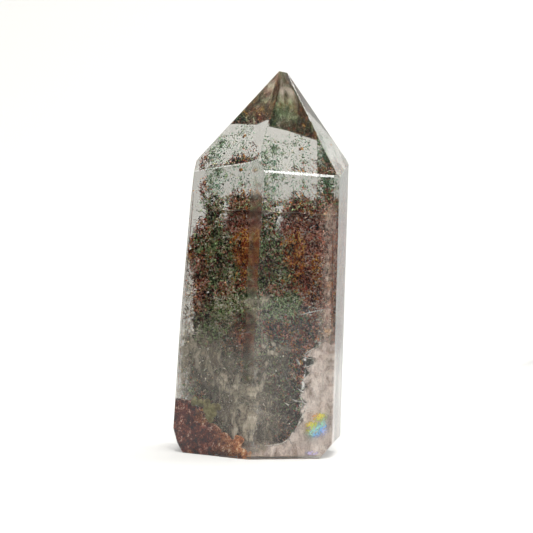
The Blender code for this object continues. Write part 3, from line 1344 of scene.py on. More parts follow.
@dataclass
class GrowthMesh:
    """All that grew of one kind: lumps of flakes grown together, and single flakes.

    A lump is a dented ball with a face for each flake. A single flake is a sharp splinter. Over half
    of the lumps take the painted shade colour, so they stand dark behind the flakes.
    """

    growth: Growth
    # Shares of the lumps and of the single flakes coloured as painted shade, and how far a face strays
    # from its copy.
    lump_painted_shade_share: float = 0.55
    flake_painted_shade_share: float = 0.08
    face_difference: float = 0.05
    lump_places: list[np.ndarray] = field(default_factory=list)
    lump_sizes: list[np.ndarray] = field(default_factory=list)
    flake_places: list[np.ndarray] = field(default_factory=list)
    flake_sizes: list[np.ndarray] = field(default_factory=list)

    def tones(
        self, copies: int, faces: int, painted_shade_share: float, random: np.random.Generator
    ) -> np.ndarray:
        """Tone of each face: alike within a copy, and the painted shade on a share of them."""
        painted_shade_part = GrowthFinish(self.growth).painted_shade_part
        deep = random.uniform(0, painted_shade_part, copies)
        shown = random.uniform(painted_shade_part, 1, copies)
        base = np.where(random.uniform(0, 1, copies) < painted_shade_share, deep, shown)
        difference = random.uniform(-1, 1, copies * faces) * self.face_difference
        return np.clip(np.repeat(base, faces) + difference, 0.0, 1.0)

    def build(self, random: np.random.Generator) -> bpy.types.Object:
        """Join the lumps and flakes in one object.

        Args:
            random: Where the turns, shapes and tones come from.

        Returns:
            The object.
        """
        ball, ball_faces = ball_shape(LUMP_DETAIL)
        lumps = scattered_copies(
            ball, ball_faces, self.lump_places, self.lump_sizes, LUMP_DENTS, LUMP_STRETCH, random
        )
        flakes = scattered_copies(
            SPLINTER,
            SPLINTER_FACES,
            self.flake_places,
            self.flake_sizes,
            SPLINTER_DENTS,
            SPLINTER_STRETCH,
            random,
        )
        points = np.concatenate([lumps[0], flakes[0]])
        faces = np.concatenate([lumps[1], flakes[1] + len(lumps[0])])
        per_lump = len(ball_faces)
        per_flake = len(SPLINTER_FACES)
        tones = np.concatenate(
            [
                self.tones(len(lumps[1]) // per_lump, per_lump, self.lump_painted_shade_share, random),
                self.tones(len(flakes[1]) // per_flake, per_flake, self.flake_painted_shade_share, random),
            ]
        )
        finish = GrowthFinish(self.growth).build()
        name = f"{self.growth.value[0]}_growth"
        return mesh_object(name, points, faces, finish, {"tone": ("FACE", tones)})


@dataclass(frozen=True)
class LumpLayer:
    """One layer of lumps in a tuft: how large they are, from where to where behind the tuft's front
    they stand, how many on a square millimetre, and how far out, as a share of its size."""

    radius: float
    depth_start: float
    depth_end: float
    per_square_mm: float
    reach: float


@dataclass
class Garden:
    """The bank of mineral tufts on the rear walls and the loose flakes above it."""

    body: CrystalBody
    seed: int = 7
    # How far the front of the bank stands off the far wall, by height above the base.
    bank_heights: tuple[float, ...] = (5 * MM, 20 * MM, 32 * MM, 45 * MM, 50 * MM)
    bank_gaps: tuple[float, ...] = (9.0 * MM, 7.0 * MM, 5.6 * MM, 4.4 * MM, 1.8 * MM)
    small_lumps: LumpLayer = LumpLayer(0.28 * MM, 0.5 * MM, 1.9 * MM, 3.8, 0.9)
    large_lumps: LumpLayer = LumpLayer(0.85 * MM, 1.9 * MM, 3.4 * MM, 1.7, 0.85)
    # Factors on the radius of a lump, and how far its dents and stretch can carry a corner.
    lump_sizes: Range = (0.5, 1.25)
    lump_reach: float = 1.5
    # How far behind a tuft's front its flakes stand, and how many of them on a square millimetre:
    # the front coat that the lumps back, and the rear coat that closes the bank from behind.
    front_flakes: Triple = (-0.6 * MM, 1.4 * MM, 92.0)
    rear_flakes: Triple = (2.4 * MM, 4.6 * MM, 55.0)
    flake_half_length: float = 0.2 * MM
    flake_size_spread: float = 0.45
    flake_size_limits: Range = (0.4, 2.2)
    # Flakes stand in clumps of this size, drawn out upwards, and few stand between them.
    clump_size: float = 0.9 * MM
    clump_stretch: float = 0.55
    clump_chance: Range = (0.65, 1.8)
    least_chance: float = 0.2
    flake_edge_softness: float = 0.34
    margin: float = 0.2 * MM
    kinds: dict[Growth, GrowthMesh] = field(default_factory=dict)

    def middle_of(self, patch: Tuft) -> tuple[Vector, Vector]:
        """Where a tuft's middle lies inside the stone, and the line of sight there."""
        line = self.body.sight(patch.seen)
        if patch.depth is not None:
            return line.behind_face(patch.depth), line.heading
        gap = patch.gap
        if gap is None:
            height = line.before_wall(0.0).z
            gap = float(np.interp(height, self.bank_heights, self.bank_gaps))
        return line.before_wall(gap), line.heading

    def spread(
        self,
        patch: Tuft,
        count: int,
        depth: Range,
        softness: float,
        random: np.random.Generator,
    ) -> np.ndarray:
        """Scatter places over a tuft, thinner towards its edge.

        Args:
            patch: The tuft.
            count: How many places.
            depth: How far behind the tuft's front they begin and end.
            softness: How far past the tuft's edge they stray, as a share of its size.
            random: Where the scatter comes from.

        Returns:
            The places, one a row.
        """
        middle, heading = self.middle_of(patch)
        across = UP.cross(heading).normalized()
        angle = random.uniform(0, 2 * math.pi, count)
        reach = np.sqrt(random.uniform(0, 1, count)) + np.abs(random.normal(0.0, softness, count))
        places = np.array(middle) + np.outer(np.cos(angle) * reach * patch.across, np.array(across))
        places += np.outer(np.sin(angle) * reach * patch.tall, np.array(UP))
        return places + np.outer(random.uniform(*depth, count), np.array(heading))

    def in_clumps(self, places: np.ndarray, random: np.random.Generator) -> np.ndarray:
        """Which of these places hold a flake."""
        stretched = places * (1.0, 1.0, self.clump_stretch) / self.clump_size
        cloud = np.array([noise.noise(Vector(place)) for place in stretched])
        usual, contrast = self.clump_chance
        chance = np.clip(usual + contrast * cloud, self.least_chance, 1.0)
        return random.uniform(0, 1, len(places)) < chance

    def grow(self, patch: Tuft, random: np.random.Generator) -> None:
        """Grow one tuft: its lumps and the flakes in front of them and around."""
        kind = self.kinds.setdefault(patch.growth, GrowthMesh(patch.growth))
        area = math.pi * patch.across * patch.tall / (MM * MM)
        for layer, thickness in ((self.small_lumps, patch.lumps), (self.large_lumps, patch.deep)):
            count = int(area * thickness * layer.per_square_mm * layer.reach**2)
            core = replace(patch, across=patch.across * layer.reach, tall=patch.tall * layer.reach)
            depth = (layer.depth_start, layer.depth_end)
            lumps = self.spread(core, count, depth, 0.0, random)
            sizes = layer.radius * random.uniform(*self.lump_sizes, count)
            held = self.body.depth_below_surface(lumps) > sizes * self.lump_reach + self.margin
            kind.lump_places.append(lumps[held])
            kind.lump_sizes.append(sizes[held])
        for coat, thickness in ((self.front_flakes, patch.loose), (self.rear_flakes, patch.deep)):
            start, end, per_square_mm = coat
            count = int(area * thickness * per_square_mm)
            flakes = self.spread(patch, count, (start, end), self.flake_edge_softness, random)
            sizes = random.lognormal(0.0, self.flake_size_spread, count)
            sizes = np.clip(sizes, *self.flake_size_limits) * self.flake_half_length * patch.fine
            held = self.body.depth_below_surface(flakes) > sizes + self.margin
            held &= self.in_clumps(flakes, random)
            kind.flake_places.append(flakes[held])
            kind.flake_sizes.append(sizes[held])

    def build(self) -> list[bpy.types.Object]:
        """Grow every tuft and join what has grown, one object for each kind of growth."""
        random = np.random.default_rng(self.seed)
        for patch in (*LEFT_TUFTS, *RIGHT_TUFTS, *FRONT_DUST, *CLEAR_DUST):
            self.grow(patch, random)
        pieces = []
        for kind in self.kinds.values():
            piece = kind.build(random)
            kind.growth.slot()
            pieces.append(piece)
        return pieces


# The milky veils.


class Inclusion:
    """Something that grew inside the quartz."""

    name: str

    def build(self, body: CrystalBody) -> bpy.types.Object:
        """Make it inside the stone.

        Args:
            body: The clear quartz around it.

        Returns:
            The object, which lies wholly inside the quartz.
        """
        raise NotImplementedError


@dataclass(frozen=True)
class Stroke:
    """A milky streak through pixels of the photograph, with its half width and how milky it is."""

    seen: tuple[Pixel, ...]
    half_width: float
    milk: float


def distance_to_route(x: np.ndarray, z: np.ndarray, route: list[Vector]) -> np.ndarray:
    """Distance of places from a route, as seen from the front.

    Args:
        x: X of the places.
        z: Z of the places.
        route: Places along the route.

    Returns:
        The distance of each place.
    """
    nearest = np.full(x.shape, np.inf)
    shortest = (MM * 0.001) ** 2
    for start, end in zip(route, route[1:]):
        run_x = end.x - start.x
        run_z = end.z - start.z
        squared = max(run_x * run_x + run_z * run_z, shortest)
        along = np.clip(((x - start.x) * run_x + (z - start.z) * run_z) / squared, 0.0, 1.0)
        gap = np.hypot(x - start.x - along * run_x, z - start.z - along * run_z)
        nearest = np.minimum(nearest, gap)
    return nearest


def inside_outline(x: np.ndarray, z: np.ndarray, outline: list[Vector]) -> np.ndarray:
    """Which places lie inside a closed outline, as seen from the front."""
    inside = np.zeros(x.shape, dtype=bool)
    for start, end in zip(outline, [*outline[1:], outline[0]]):
        crosses = (start.z > z) != (end.z > z)
        rise = end.z - start.z if end.z != start.z else MM * 1e-6
        inside ^= crosses & (x < (end.x - start.x) * (z - start.z) / rise + start.x)
    return inside


@dataclass(frozen=True)
class Veil(Inclusion):
    """A curved sheet of milk that follows the front flats at one depth.

    Attributes:
        name: The piece's name.
        finish: What it is made of.
        depth: How far behind the front flats it lies.
        strokes: Its streaks.
        outline: Pixels round an evenly milky part.
        outline_milk: How milky that part is.
        outline_soft: How many of those pixels its inner rim has. The others follow the stone's edge.
        outline_reach: How far the others are pushed out, to the right and down.
        outline_fade: How far in from its rim it gets its full milk.
        left, right, bottom, top: What the sheet covers before it is cut to the milk.
        spacing: Width of its cells.
        wave, wave_length: How it undulates.
        ragged, ragged_length: How much the streaks and the rim waver, and how coarsely.
        margin: How far it keeps from the stone's surface.
        least_milk: The sheet ends where it has less.
    """

    name: str
    finish: MilkyFinish
    depth: float
    strokes: tuple[Stroke, ...]
    outline: tuple[Pixel, ...] = ()
    outline_milk: float = 0.0
    outline_soft: int = 0
    outline_reach: float = 1.0 * MM
    outline_fade: float = 0.25 * MM
    left: float = -14.5 * MM
    right: float = 14.0 * MM
    bottom: float = 0.25 * MM
    top: float = 46.0 * MM
    spacing: float = 0.25 * MM
    wave: float = 0.8 * MM
    wave_length: float = 6.0 * MM
    ragged: float = 0.35
    ragged_length: float = 0.9 * MM
    margin: float = 0.06 * MM
    least_milk: float = 0.01

    def sheet(self, body: CrystalBody) -> np.ndarray:
        """Rows by columns of places on the sheet."""
        heights = np.arange(self.bottom, self.top, self.spacing)
        acrosses = np.arange(self.left, self.right, self.spacing)
        start_y = body.viewpoint.place[1]
        rows = []
        for z in heights:
            row = []
            for x in acrosses:
                hit, _, _, _ = body.tree.ray_cast(Vector((x, start_y, z)), Vector((0.0, 1.0, 0.0)))
                waves = noise.noise(Vector((x, self.depth, z)) / self.wave_length) * self.wave
                row.append((x, hit.y + self.depth + waves if hit else math.nan, z))
            rows.append(row)
        return np.array(rows)

    def milk(self, body: CrystalBody, sheet: np.ndarray) -> np.ndarray:
        """How milky each place of the sheet is."""
        x = sheet[:, :, 0]
        z = sheet[:, :, 2]
        wavering = waver(np.nan_to_num(sheet), self.ragged_length)
        milk = np.zeros(x.shape)
        for stroke in self.strokes:
            route = smooth_route([body.sight(p).behind_face(self.depth) for p in stroke.seen])
            width = stroke.half_width * (1 + self.ragged * wavering)
            milk += stroke.milk * np.exp(-((distance_to_route(x, z, route) / width) ** 2))
        if self.outline:
            outline = [body.sight(p).behind_face(self.depth) for p in self.outline]
            for place in outline[self.outline_soft :]:
                place += Vector((self.outline_reach, 0.0, -self.outline_reach))
            rim = distance_to_route(x, z, outline[: self.outline_soft]) * (1 + wavering)
            even = np.clip(rim / self.outline_fade, 0.0, 1.0) * inside_outline(x, z, outline)
            milk += self.outline_milk * even
        return milk

    def build(self, body: CrystalBody) -> bpy.types.Object:
        """Make the veil. See Inclusion.build."""
        sheet = self.sheet(body)
        milk = self.milk(body, sheet)
        # A place in front of no flat gets a coordinate far outside the stone.
        places = np.nan_to_num(sheet, nan=1.0)
        inside = body.depth_below_surface(places) > self.margin
        milk = np.where(inside, milk, 0.0)
        kept = (milk > self.least_milk) & inside
        return sheet_object(self.name, places, {"milk": milk}, kept, self.finish.build())


VEILS = (
    Veil(
        "front_veil",
        MilkyFinish("milky_healed_fracture", ("544a3a", "d0c6b4"), clearest=0.05),
        3.0 * MM,
        (
            Stroke(((262, 301), (250, 305), (232, 318), (205, 340)), 1.1 * MM, 0.12),
            Stroke(((240, 303), (256, 300), (272, 298)), 0.6 * MM, 0.4),
            Stroke(((196, 301), (208, 311), (215, 313)), 0.28 * MM, 0.7),
            Stroke(((264, 336), (275, 345), (290, 350)), 0.28 * MM, 0.8),
            Stroke(((262, 344), (270, 352), (284, 356)), 0.28 * MM, 0.5),
            Stroke(((281, 353), (268, 354), (266, 370), (263, 385)), 0.28 * MM, 0.8),
            Stroke(((229, 412), (233, 408), (238, 407)), 0.25 * MM, 0.8),
            Stroke(((225, 380), (235, 392), (245, 410)), 0.4 * MM, 0.25),
            Stroke(((212, 372), (222, 385), (238, 396)), 0.4 * MM, 0.25),
            Stroke(((205, 362), (216, 372), (230, 378)), 0.35 * MM, 0.25),
            Stroke(((240, 350), (232, 362), (215, 366)), 0.35 * MM, 0.25),
            Stroke(((200, 350), (225, 385), (243, 425)), 3.6 * MM, 0.46),
            Stroke(((254, 296), (253, 330), (251, 400)), 0.8 * MM, 0.14),
            Stroke(((272, 352), (277, 375), (272, 400)), 2.0 * MM, 0.12),
            Stroke(((240, 385), (244, 420), (238, 440)), 1.5 * MM, 0.4),
            Stroke(((262, 380), (266, 410), (262, 448)), 1.2 * MM, 0.2),
            Stroke(((189, 262), (188, 300), (186, 345), (182, 395)), 0.9 * MM, 0.35),
            Stroke(((185, 350), (188, 375), (184, 395)), 1.8 * MM, 0.3),
        ),
    ),
    Veil(
        "middle_veil",
        MilkyFinish(
            "milky_healed_fracture_deeper",
            ("544a3e", "a89c8a"),
            wisp_grain=2.6 * MM,
            turn_deg=-30.0,
            clearest=0.4,
        ),
        7.0 * MM,
        (
            Stroke(((205, 348), (225, 395), (240, 430)), 4.0 * MM, 0.5),
            Stroke(((278, 365), (280, 400), (275, 425)), 2.6 * MM, 0.14),
            Stroke(((280, 304), (255, 310), (215, 335)), 1.4 * MM, 0.08),
        ),
    ),
    Veil(
        "right_crack",
        MilkyFinish(
            "milky_open_crack",
            ("c0a89c", "fff4ee"),
            wisp_grain=1.3 * MM,
            turn_deg=50.0,
            clearest=0.7,
            thread_spacing=2.0 * MM,
        ),
        3.6 * MM,
        (),
        outline=(
            (324, 340), (318, 346), (312, 348), (304, 356), (314, 359), (312, 364),
            (304, 367), (308, 373), (301, 380), (305, 387), (299, 396), (305, 403),
            (298, 412), (302, 420), (292, 431), (286, 441), (274, 443), (263, 446),
            (252, 452), (254, 458), (300, 457.5), (318, 455.5), (330, 442), (331, 400),
            (331, 342),
        ),
        outline_milk=0.62,
        outline_soft=19,
        outline_fade=0.45 * MM,
        left=-4.0 * MM,
        top=24.0 * MM,
        spacing=0.14 * MM,
        ragged_length=0.5 * MM,
    ),
    Veil(
        "right_strip_veil",
        MilkyFinish("pink_dusted_fracture", ("b09080", "f4e2d6"), wisp_grain=0.6 * MM),
        1.6 * MM,
        (Stroke(((330, 204), (329, 250), (328, 300), (327, 345)), 1.0 * MM, 0.32),),
    ),
)


@dataclass(frozen=True)
class FlankHaze(Inclusion):
    """A thin brownish haze that runs up just under the right flat, from the base: partly haze, and
    partly painted shade that darkens what the right flat shows.
    """

    name: str = "haze_and_painted_shade_under_right_flat"
    # Brownish milk: haze, and painted shade on the right flat.
    finish: MilkyFinish = MilkyFinish(
        "haze_and_painted_shade_under_right_flat",
        ("6a5448", "a08878"),
        wisp_grain=4.0 * MM,
        clearest=0.4,
        thread_milk=0.0,
    )
    azimuth_deg: float = 82.0
    lean_deg: float = 0.4
    depth: float = 0.5 * MM
    # Where it begins and ends across the flat, counted from its middle to the rear.
    across: Range = (-3.5 * MM, 7.4 * MM)
    # Heights where it is full and where it has faded out.
    full_height: float = 3.0 * MM
    top: float = 22.0 * MM
    spacing: float = 0.4 * MM
    milk: float = 0.5
    margin: float = 0.1 * MM

    def build(self, body: CrystalBody) -> bpy.types.Object:
        """Make the sheet. See Inclusion.build."""
        outward = outward_direction(self.azimuth_deg, self.lean_deg)
        along = UP.cross(outward).normalized()
        nearest = int(np.argmax(body.outward @ np.array(outward)))
        middle = outward * (body.distance[nearest] - self.depth)
        u, z = np.meshgrid(
            np.arange(*self.across, self.spacing),
            np.arange(self.margin, self.top, self.spacing),
        )
        places = np.array(middle) + u[..., None] * np.array(along) + z[..., None] * np.array(UP)
        kept = body.depth_below_surface(places) > self.margin
        fade = np.clip((self.top - z) / (self.top - self.full_height), 0.0, 1.0)
        values = {"milk": self.milk * fade}
        return sheet_object(self.name, places, values, kept, self.finish.build())


@dataclass(frozen=True)
class MilkyRoot(Inclusion):
    """The milky lowest part of the crystal: a wavy sheet just above the ground base."""

    name: str = "milky_root"
    finish: MilkyFinish = MilkyFinish("milky_root", ("c4ab9c", "ecdccf"), wisp_grain=4.0 * MM)
    height: float = 0.55 * MM
    wave: float = 0.25 * MM
    wave_length: float = 5.0 * MM
    half_width: float = 16.5 * MM
    spacing: float = 0.4 * MM
    milk: float = 0.6
    # It fades towards the sides of the stone, over this distance. Flats that face up or down more
    # than the steepest rise aren't sides.
    fade: float = 0.8 * MM
    steepest_rise: float = 0.9
    margin: float = 0.1 * MM

    def build(self, body: CrystalBody) -> bpy.types.Object:
        """Make the sheet. See Inclusion.build."""
        line = np.arange(-self.half_width, self.half_width, self.spacing)
        x, y = np.meshgrid(line, line)
        waves = waver(np.stack([x, y, np.zeros(x.shape)], axis=2), self.wave_length)
        places = np.stack([x, y, self.height + self.wave * waves], axis=2)
        sides = np.abs(body.outward[:, 2]) < self.steepest_rise
        flat = places.reshape(-1, 3)
        deep = (body.distance[sides] - flat @ body.outward[sides].T).min(axis=1).reshape(x.shape)
        values = {"milk": self.milk * np.clip((deep - self.margin) / self.fade, 0.0, 1.0)}
        return sheet_object(self.name, places, values, deep > self.margin, self.finish.build())


@dataclass(frozen=True)
class PhantomLedge(Inclusion):
    """The top of the bank: a level, dusted face of the crystal as it once was. It shows from above,
    and as what the slopes of the point mirror."""

    name: str = "phantom_ledge"
    finish: PhantomFinish = PhantomFinish()
    height: float = 44.3 * MM
    wave: float = 0.5 * MM
    wave_length: float = 3.0 * MM
    middle: Range = (1.5 * MM, 12.6 * MM)
    half_sizes: Range = (10.0 * MM, 4.4 * MM)
    spacing: float = 0.25 * MM
    # How far its edge wavers, and how steeply the dusting thins out there.
    ragged: float = 0.4
    edge_steepness: float = 3.0
    margin: float = 0.3 * MM

    def build(self, body: CrystalBody) -> bpy.types.Object:
        """Make the sheet. See Inclusion.build."""
        half_x, half_y = self.half_sizes
        x, y = np.meshgrid(
            self.middle[0] + np.arange(-half_x, half_x, self.spacing),
            self.middle[1] + np.arange(-half_y, half_y, self.spacing),
        )
        waves = waver(np.stack([x, y, np.zeros(x.shape)], axis=2), self.wave_length)
        places = np.stack([x, y, self.height + self.wave * waves], axis=2)
        from_middle = np.hypot((x - self.middle[0]) / half_x, (y - self.middle[1]) / half_y)
        thinning = (1 - from_middle + self.ragged * waves) * self.edge_steepness
        cover = np.clip(thinning, 0.0, 1.0)
        kept = (body.depth_below_surface(places) > self.margin) & (cover > 0)
        values = {"milk": cover, "rearward": (y - self.middle[1]) / (2 * half_y) + 0.5}
        return sheet_object(self.name, places, values, kept, self.finish.build())


# The rust-coloured clot and the olive clay at the lower left.


@dataclass(frozen=True)
class Blob:
    """One round part of a lump: its pixel in the photograph, depth and radius."""

    seen: Pixel
    depth: float
    radius: float


def blob(x: float, y: float, depth: float, radius: float) -> Blob:
    """Short form of a blob, with depth and radius in millimetres."""
    return Blob((x, y), depth * MM, radius * MM)


@dataclass(frozen=True)
class Lump(Inclusion):
    """A lump of round parts grown together, ground off flat where the stone's surface cuts it.

    Attributes:
        name: The piece's name.
        finish: What it is made of.
        blobs: Its round parts.
        voxel: How finely it is divided.
        grain: Size of its bumps.
        roughness: Height of its bumps.
        margin: How far it keeps from the stone's surface.
        ball_detail: How finely each round part is divided at first.
        octaves: How many finer steps the bumps have.
        octave_scale: How many times finer each step is.
        fall_off: How much weaker each step is, as the power of its scale.
        presses: How often it is pressed flat, so that it is clear of every flat at a corner.
    """

    name: str
    finish: ClotFinish | ClayFinish
    blobs: tuple[Blob, ...]
    voxel: float
    grain: float
    roughness: float
    margin: float = 0.12 * MM
    ball_detail: int = 3
    octaves: int = 3
    octave_scale: float = 2.0
    fall_off: float = 0.8
    presses: int = 3

    def build(self, body: CrystalBody) -> bpy.types.Object:
        """Make the lump. See Inclusion.build."""
        bm = bmesh.new()
        for part in self.blobs:
            place = body.sight(part.seen).behind_face(part.depth)
            bmesh.ops.create_icosphere(
                bm,
                subdivisions=self.ball_detail,
                radius=part.radius,
                matrix=Matrix.Translation(place),
            )
        rough = bpy.data.meshes.new(f"{self.name}_balls")
        bm.to_mesh(rough)
        bm.free()
        piece = link_object(self.name, rough)
        remesh = piece.modifiers.new("grow_together", "REMESH")
        remesh.mode = "VOXEL"
        remesh.voxel_size = self.voxel
        shown = piece.evaluated_get(bpy.context.evaluated_depsgraph_get())
        mesh = bpy.data.meshes.new_from_object(shown)
        piece.modifiers.clear()
        mesh.name = self.name
        self.shape(mesh, body)
        mesh.materials.clear()
        mesh.materials.append(self.finish.build())
        mesh.shade_smooth()
        piece.data = mesh
        bpy.data.meshes.remove(rough)
        return piece

    def shape(self, mesh: bpy.types.Mesh, body: CrystalBody) -> None:
        """Roughen the surface, and press it flat just under the polished flats."""
        for vertex in mesh.vertices:
            spot = vertex.co / self.grain
            bumps = noise.fractal(spot, self.fall_off, self.octave_scale, self.octaves)
            vertex.co += vertex.normal * bumps * self.roughness
        places = np.array([v.co for v in mesh.vertices])
        for _ in range(self.presses):
            beyond = self.margin - (body.distance - places @ body.outward.T)
            worst = beyond.argmax(axis=1)
            push = np.clip(beyond[np.arange(len(places)), worst], 0.0, None)
            places -= body.outward[worst] * push[:, None]
        mesh.vertices.foreach_set("co", places.astype(np.float32).ravel())
        mesh.update()


LUMPS = (
    Lump(
        "rust_clot",
        ClotFinish(),
        (
            blob(179, 408, 1.5, 1.7), blob(187, 410, 2.0, 1.8), blob(180, 420, 1.5, 2.2),
            blob(193, 420, 2.0, 2.3), blob(204, 427, 2.0, 1.7), blob(182, 434, 1.5, 2.4),
            blob(196, 434, 2.0, 2.6), blob(212, 436, 2.0, 2.2), blob(190, 446, 2.0, 2.2),
            blob(206, 447, 2.0, 2.4), blob(222, 444, 2.0, 2.0), blob(233, 448, 1.6, 1.5),
            blob(243, 454, 1.4, 1.0), blob(238, 440, 2.0, 0.9), blob(184, 425, 4.5, 2.4),
            blob(192, 440, 5.0, 3.0), blob(208, 444, 5.0, 2.6), blob(225, 450, 4.0, 1.8),
        ),
        voxel=0.22 * MM,
        grain=1.2 * MM,
        roughness=0.35 * MM,
    ),
    Lump(
        "olive_clay_lump",
        ClayFinish(),
        (
            blob(194, 402, 0.8, 0.7), blob(200, 403, 0.8, 0.75), blob(207, 403, 0.8, 0.8),
            blob(208, 409, 0.9, 1.05), blob(214, 408, 0.9, 0.85), blob(218, 407, 0.9, 0.6),
            blob(210, 415, 0.9, 1.0), blob(214, 414, 0.9, 0.6), blob(211, 420, 0.9, 0.6),
        ),
        voxel=0.1 * MM,
        grain=0.7 * MM,
        roughness=0.15 * MM,
    ),
)


# The crack at the lower right: its bright lip, and the thin part with rainbow colours.


@dataclass(frozen=True)
class Threads(Inclusion):
    """Thin threads that lie at one depth behind the polished faces.

    Attributes:
        name: The piece's name.
        finish: What they are made of.
        depth: How far behind the faces they lie.
        threads: Pixels of the photograph along each thread, and its half width.
    """

    name: str
    finish: FilmFinish
    depth: float
    threads: tuple[tuple[tuple[Pixel, ...], float], ...]

    def build(self, body: CrystalBody) -> bpy.types.Object:
        """Make the threads. See Inclusion.build."""
        routes = []
        for pixels, half_width in self.threads:
            places = [body.sight(pixel).behind_face(self.depth) for pixel in pixels]
            routes.append((smooth_route(places), half_width))
        return ribbon_object(self.name, routes, self.finish.build())


# Threads of air along the edge of the crack, and in the healed fractures, painted near-white for the
# light they mirror: painted reflection.
CRACK_LIP = Threads(
    "crack_lip_threads",
    AIR_FILM,
    3.4 * MM,
    (
        (((307.5, 405), (303, 415), (300, 421), (297, 428), (294, 433)), 0.2 * MM),
        (((294, 433), (286, 441), (278, 444.5), (263, 446)), 0.14 * MM),
        (((318, 346), (311, 350), (305, 354)), 0.08 * MM),
        (((304, 356), (309, 358.5), (315, 358.5)), 0.04 * MM),
        (((303, 367), (308, 366.5), (313, 364)), 0.04 * MM),
        (((301, 380), (305, 378), (310, 373)), 0.05 * MM),
        (((309, 384), (314, 390), (317, 398)), 0.07 * MM),
        (((306, 412), (313, 410), (319, 404)), 0.07 * MM),
        (((299, 427), (305, 424), (308, 419)), 0.07 * MM),
        (((321, 372), (323, 380), (323, 390)), 0.06 * MM),
        (((292, 399), (296, 401), (303, 402)), 0.13 * MM),
        (((300, 397), (304, 403), (307, 404)), 0.10 * MM),
        (((297, 388), (301, 391), (304, 392)), 0.10 * MM),
        (((300, 315), (312, 312), (326, 309)), 0.09 * MM),
        (((296, 359), (298, 362), (300, 365)), 0.22 * MM),
        (((229, 412), (233, 408), (238, 407)), 0.07 * MM),
        (((252, 437), (254, 432), (257, 428)), 0.12 * MM),
    ),
)

# Iron stain that crept in along the edges of the stone.
EDGE_STAINS = Threads(
    "edge_stains",
    IRON_STAIN,
    0.35 * MM,
    (
        (((193.8, 192), (190.4, 230), (186.8, 270), (184.4, 300)), 0.09 * MM),
        (((184.1, 304), (181.2, 340), (178.6, 378), (177.4, 398)), 0.06 * MM),
        (((333.0, 232), (332.6, 270), (332.1, 310), (331.5, 345)), 0.07 * MM),
        (((335.2, 400), (334.9, 412)), 0.20 * MM),
        (((334.8, 415), (334.5, 428)), 0.22 * MM),
        (((334.4, 431), (334.1, 439)), 0.17 * MM),
        (((339.0, 346), (338.6, 362), (338.2, 379)), 0.08 * MM),
    ),
)


@dataclass(frozen=True)
class HealingThreads(Inclusion):
    """Fine curved threads of bubbles, strewn through the milky lower half."""

    name: str = "healing_threads"
    finish: FilmFinish = BUBBLES
    seed: int = 11
    # Patches of them: pixel at the middle, half width and half height, and how many.
    patches: tuple[tuple[Pixel, float, float, int], ...] = (
        ((222, 365), 4.5 * MM, 4.0 * MM, 26),
        ((243, 405), 3.6 * MM, 6.0 * MM, 30),
        ((274, 365), 3.6 * MM, 5.0 * MM, 28),
        ((280, 420), 3.0 * MM, 3.4 * MM, 16),
    )
    depths: Range = (1.5 * MM, 4.5 * MM)
    lengths: Range = (2.0 * MM, 6.5 * MM)
    half_widths: Range = (0.03 * MM, 0.08 * MM)
    # How far one turns along its length, in radians, and how far it sinks for its length.
    largest_bend: float = 0.8
    largest_dive: float = 0.3
    points: int = 9
    margin: float = 0.2 * MM

    def route(
        self, start: Vector, length: float, turn: float, bend: float, dive: float
    ) -> list[Vector]:
        """Places along one thread, which turns evenly and sinks a little into the stone."""
        step = length / self.points
        route = [start]
        for place in range(self.points):
            angle = turn + bend * place / self.points
            ahead = Vector((math.cos(angle), dive, math.sin(angle)))
            route.append(route[-1] + ahead * step)
        return route

    def build(self, body: CrystalBody) -> bpy.types.Object:
        """Make the threads. See Inclusion.build."""
        random = np.random.default_rng(self.seed)
        routes = []
        for middle, half_width, half_height, count in self.patches:
            line = body.sight(middle)
            for _ in range(count):
                place = line.behind_face(random.uniform(*self.depths))
                across = random.normal(0.0, half_width / 2)
                place = place + Vector((across, 0.0, random.normal(0.0, half_height / 2)))
                length = random.uniform(*self.lengths)
                bend = random.uniform(-self.largest_bend, self.largest_bend)
                turn = random.uniform(0, 2 * math.pi)
                dive = random.uniform(-self.largest_dive, self.largest_dive)
                route = self.route(place, length, turn, bend, dive)
                if body.depth_below_surface(np.array(route)).min() > self.margin:
                    routes.append((route, random.uniform(*self.half_widths)))
        return ribbon_object(self.name, routes, self.finish.build())


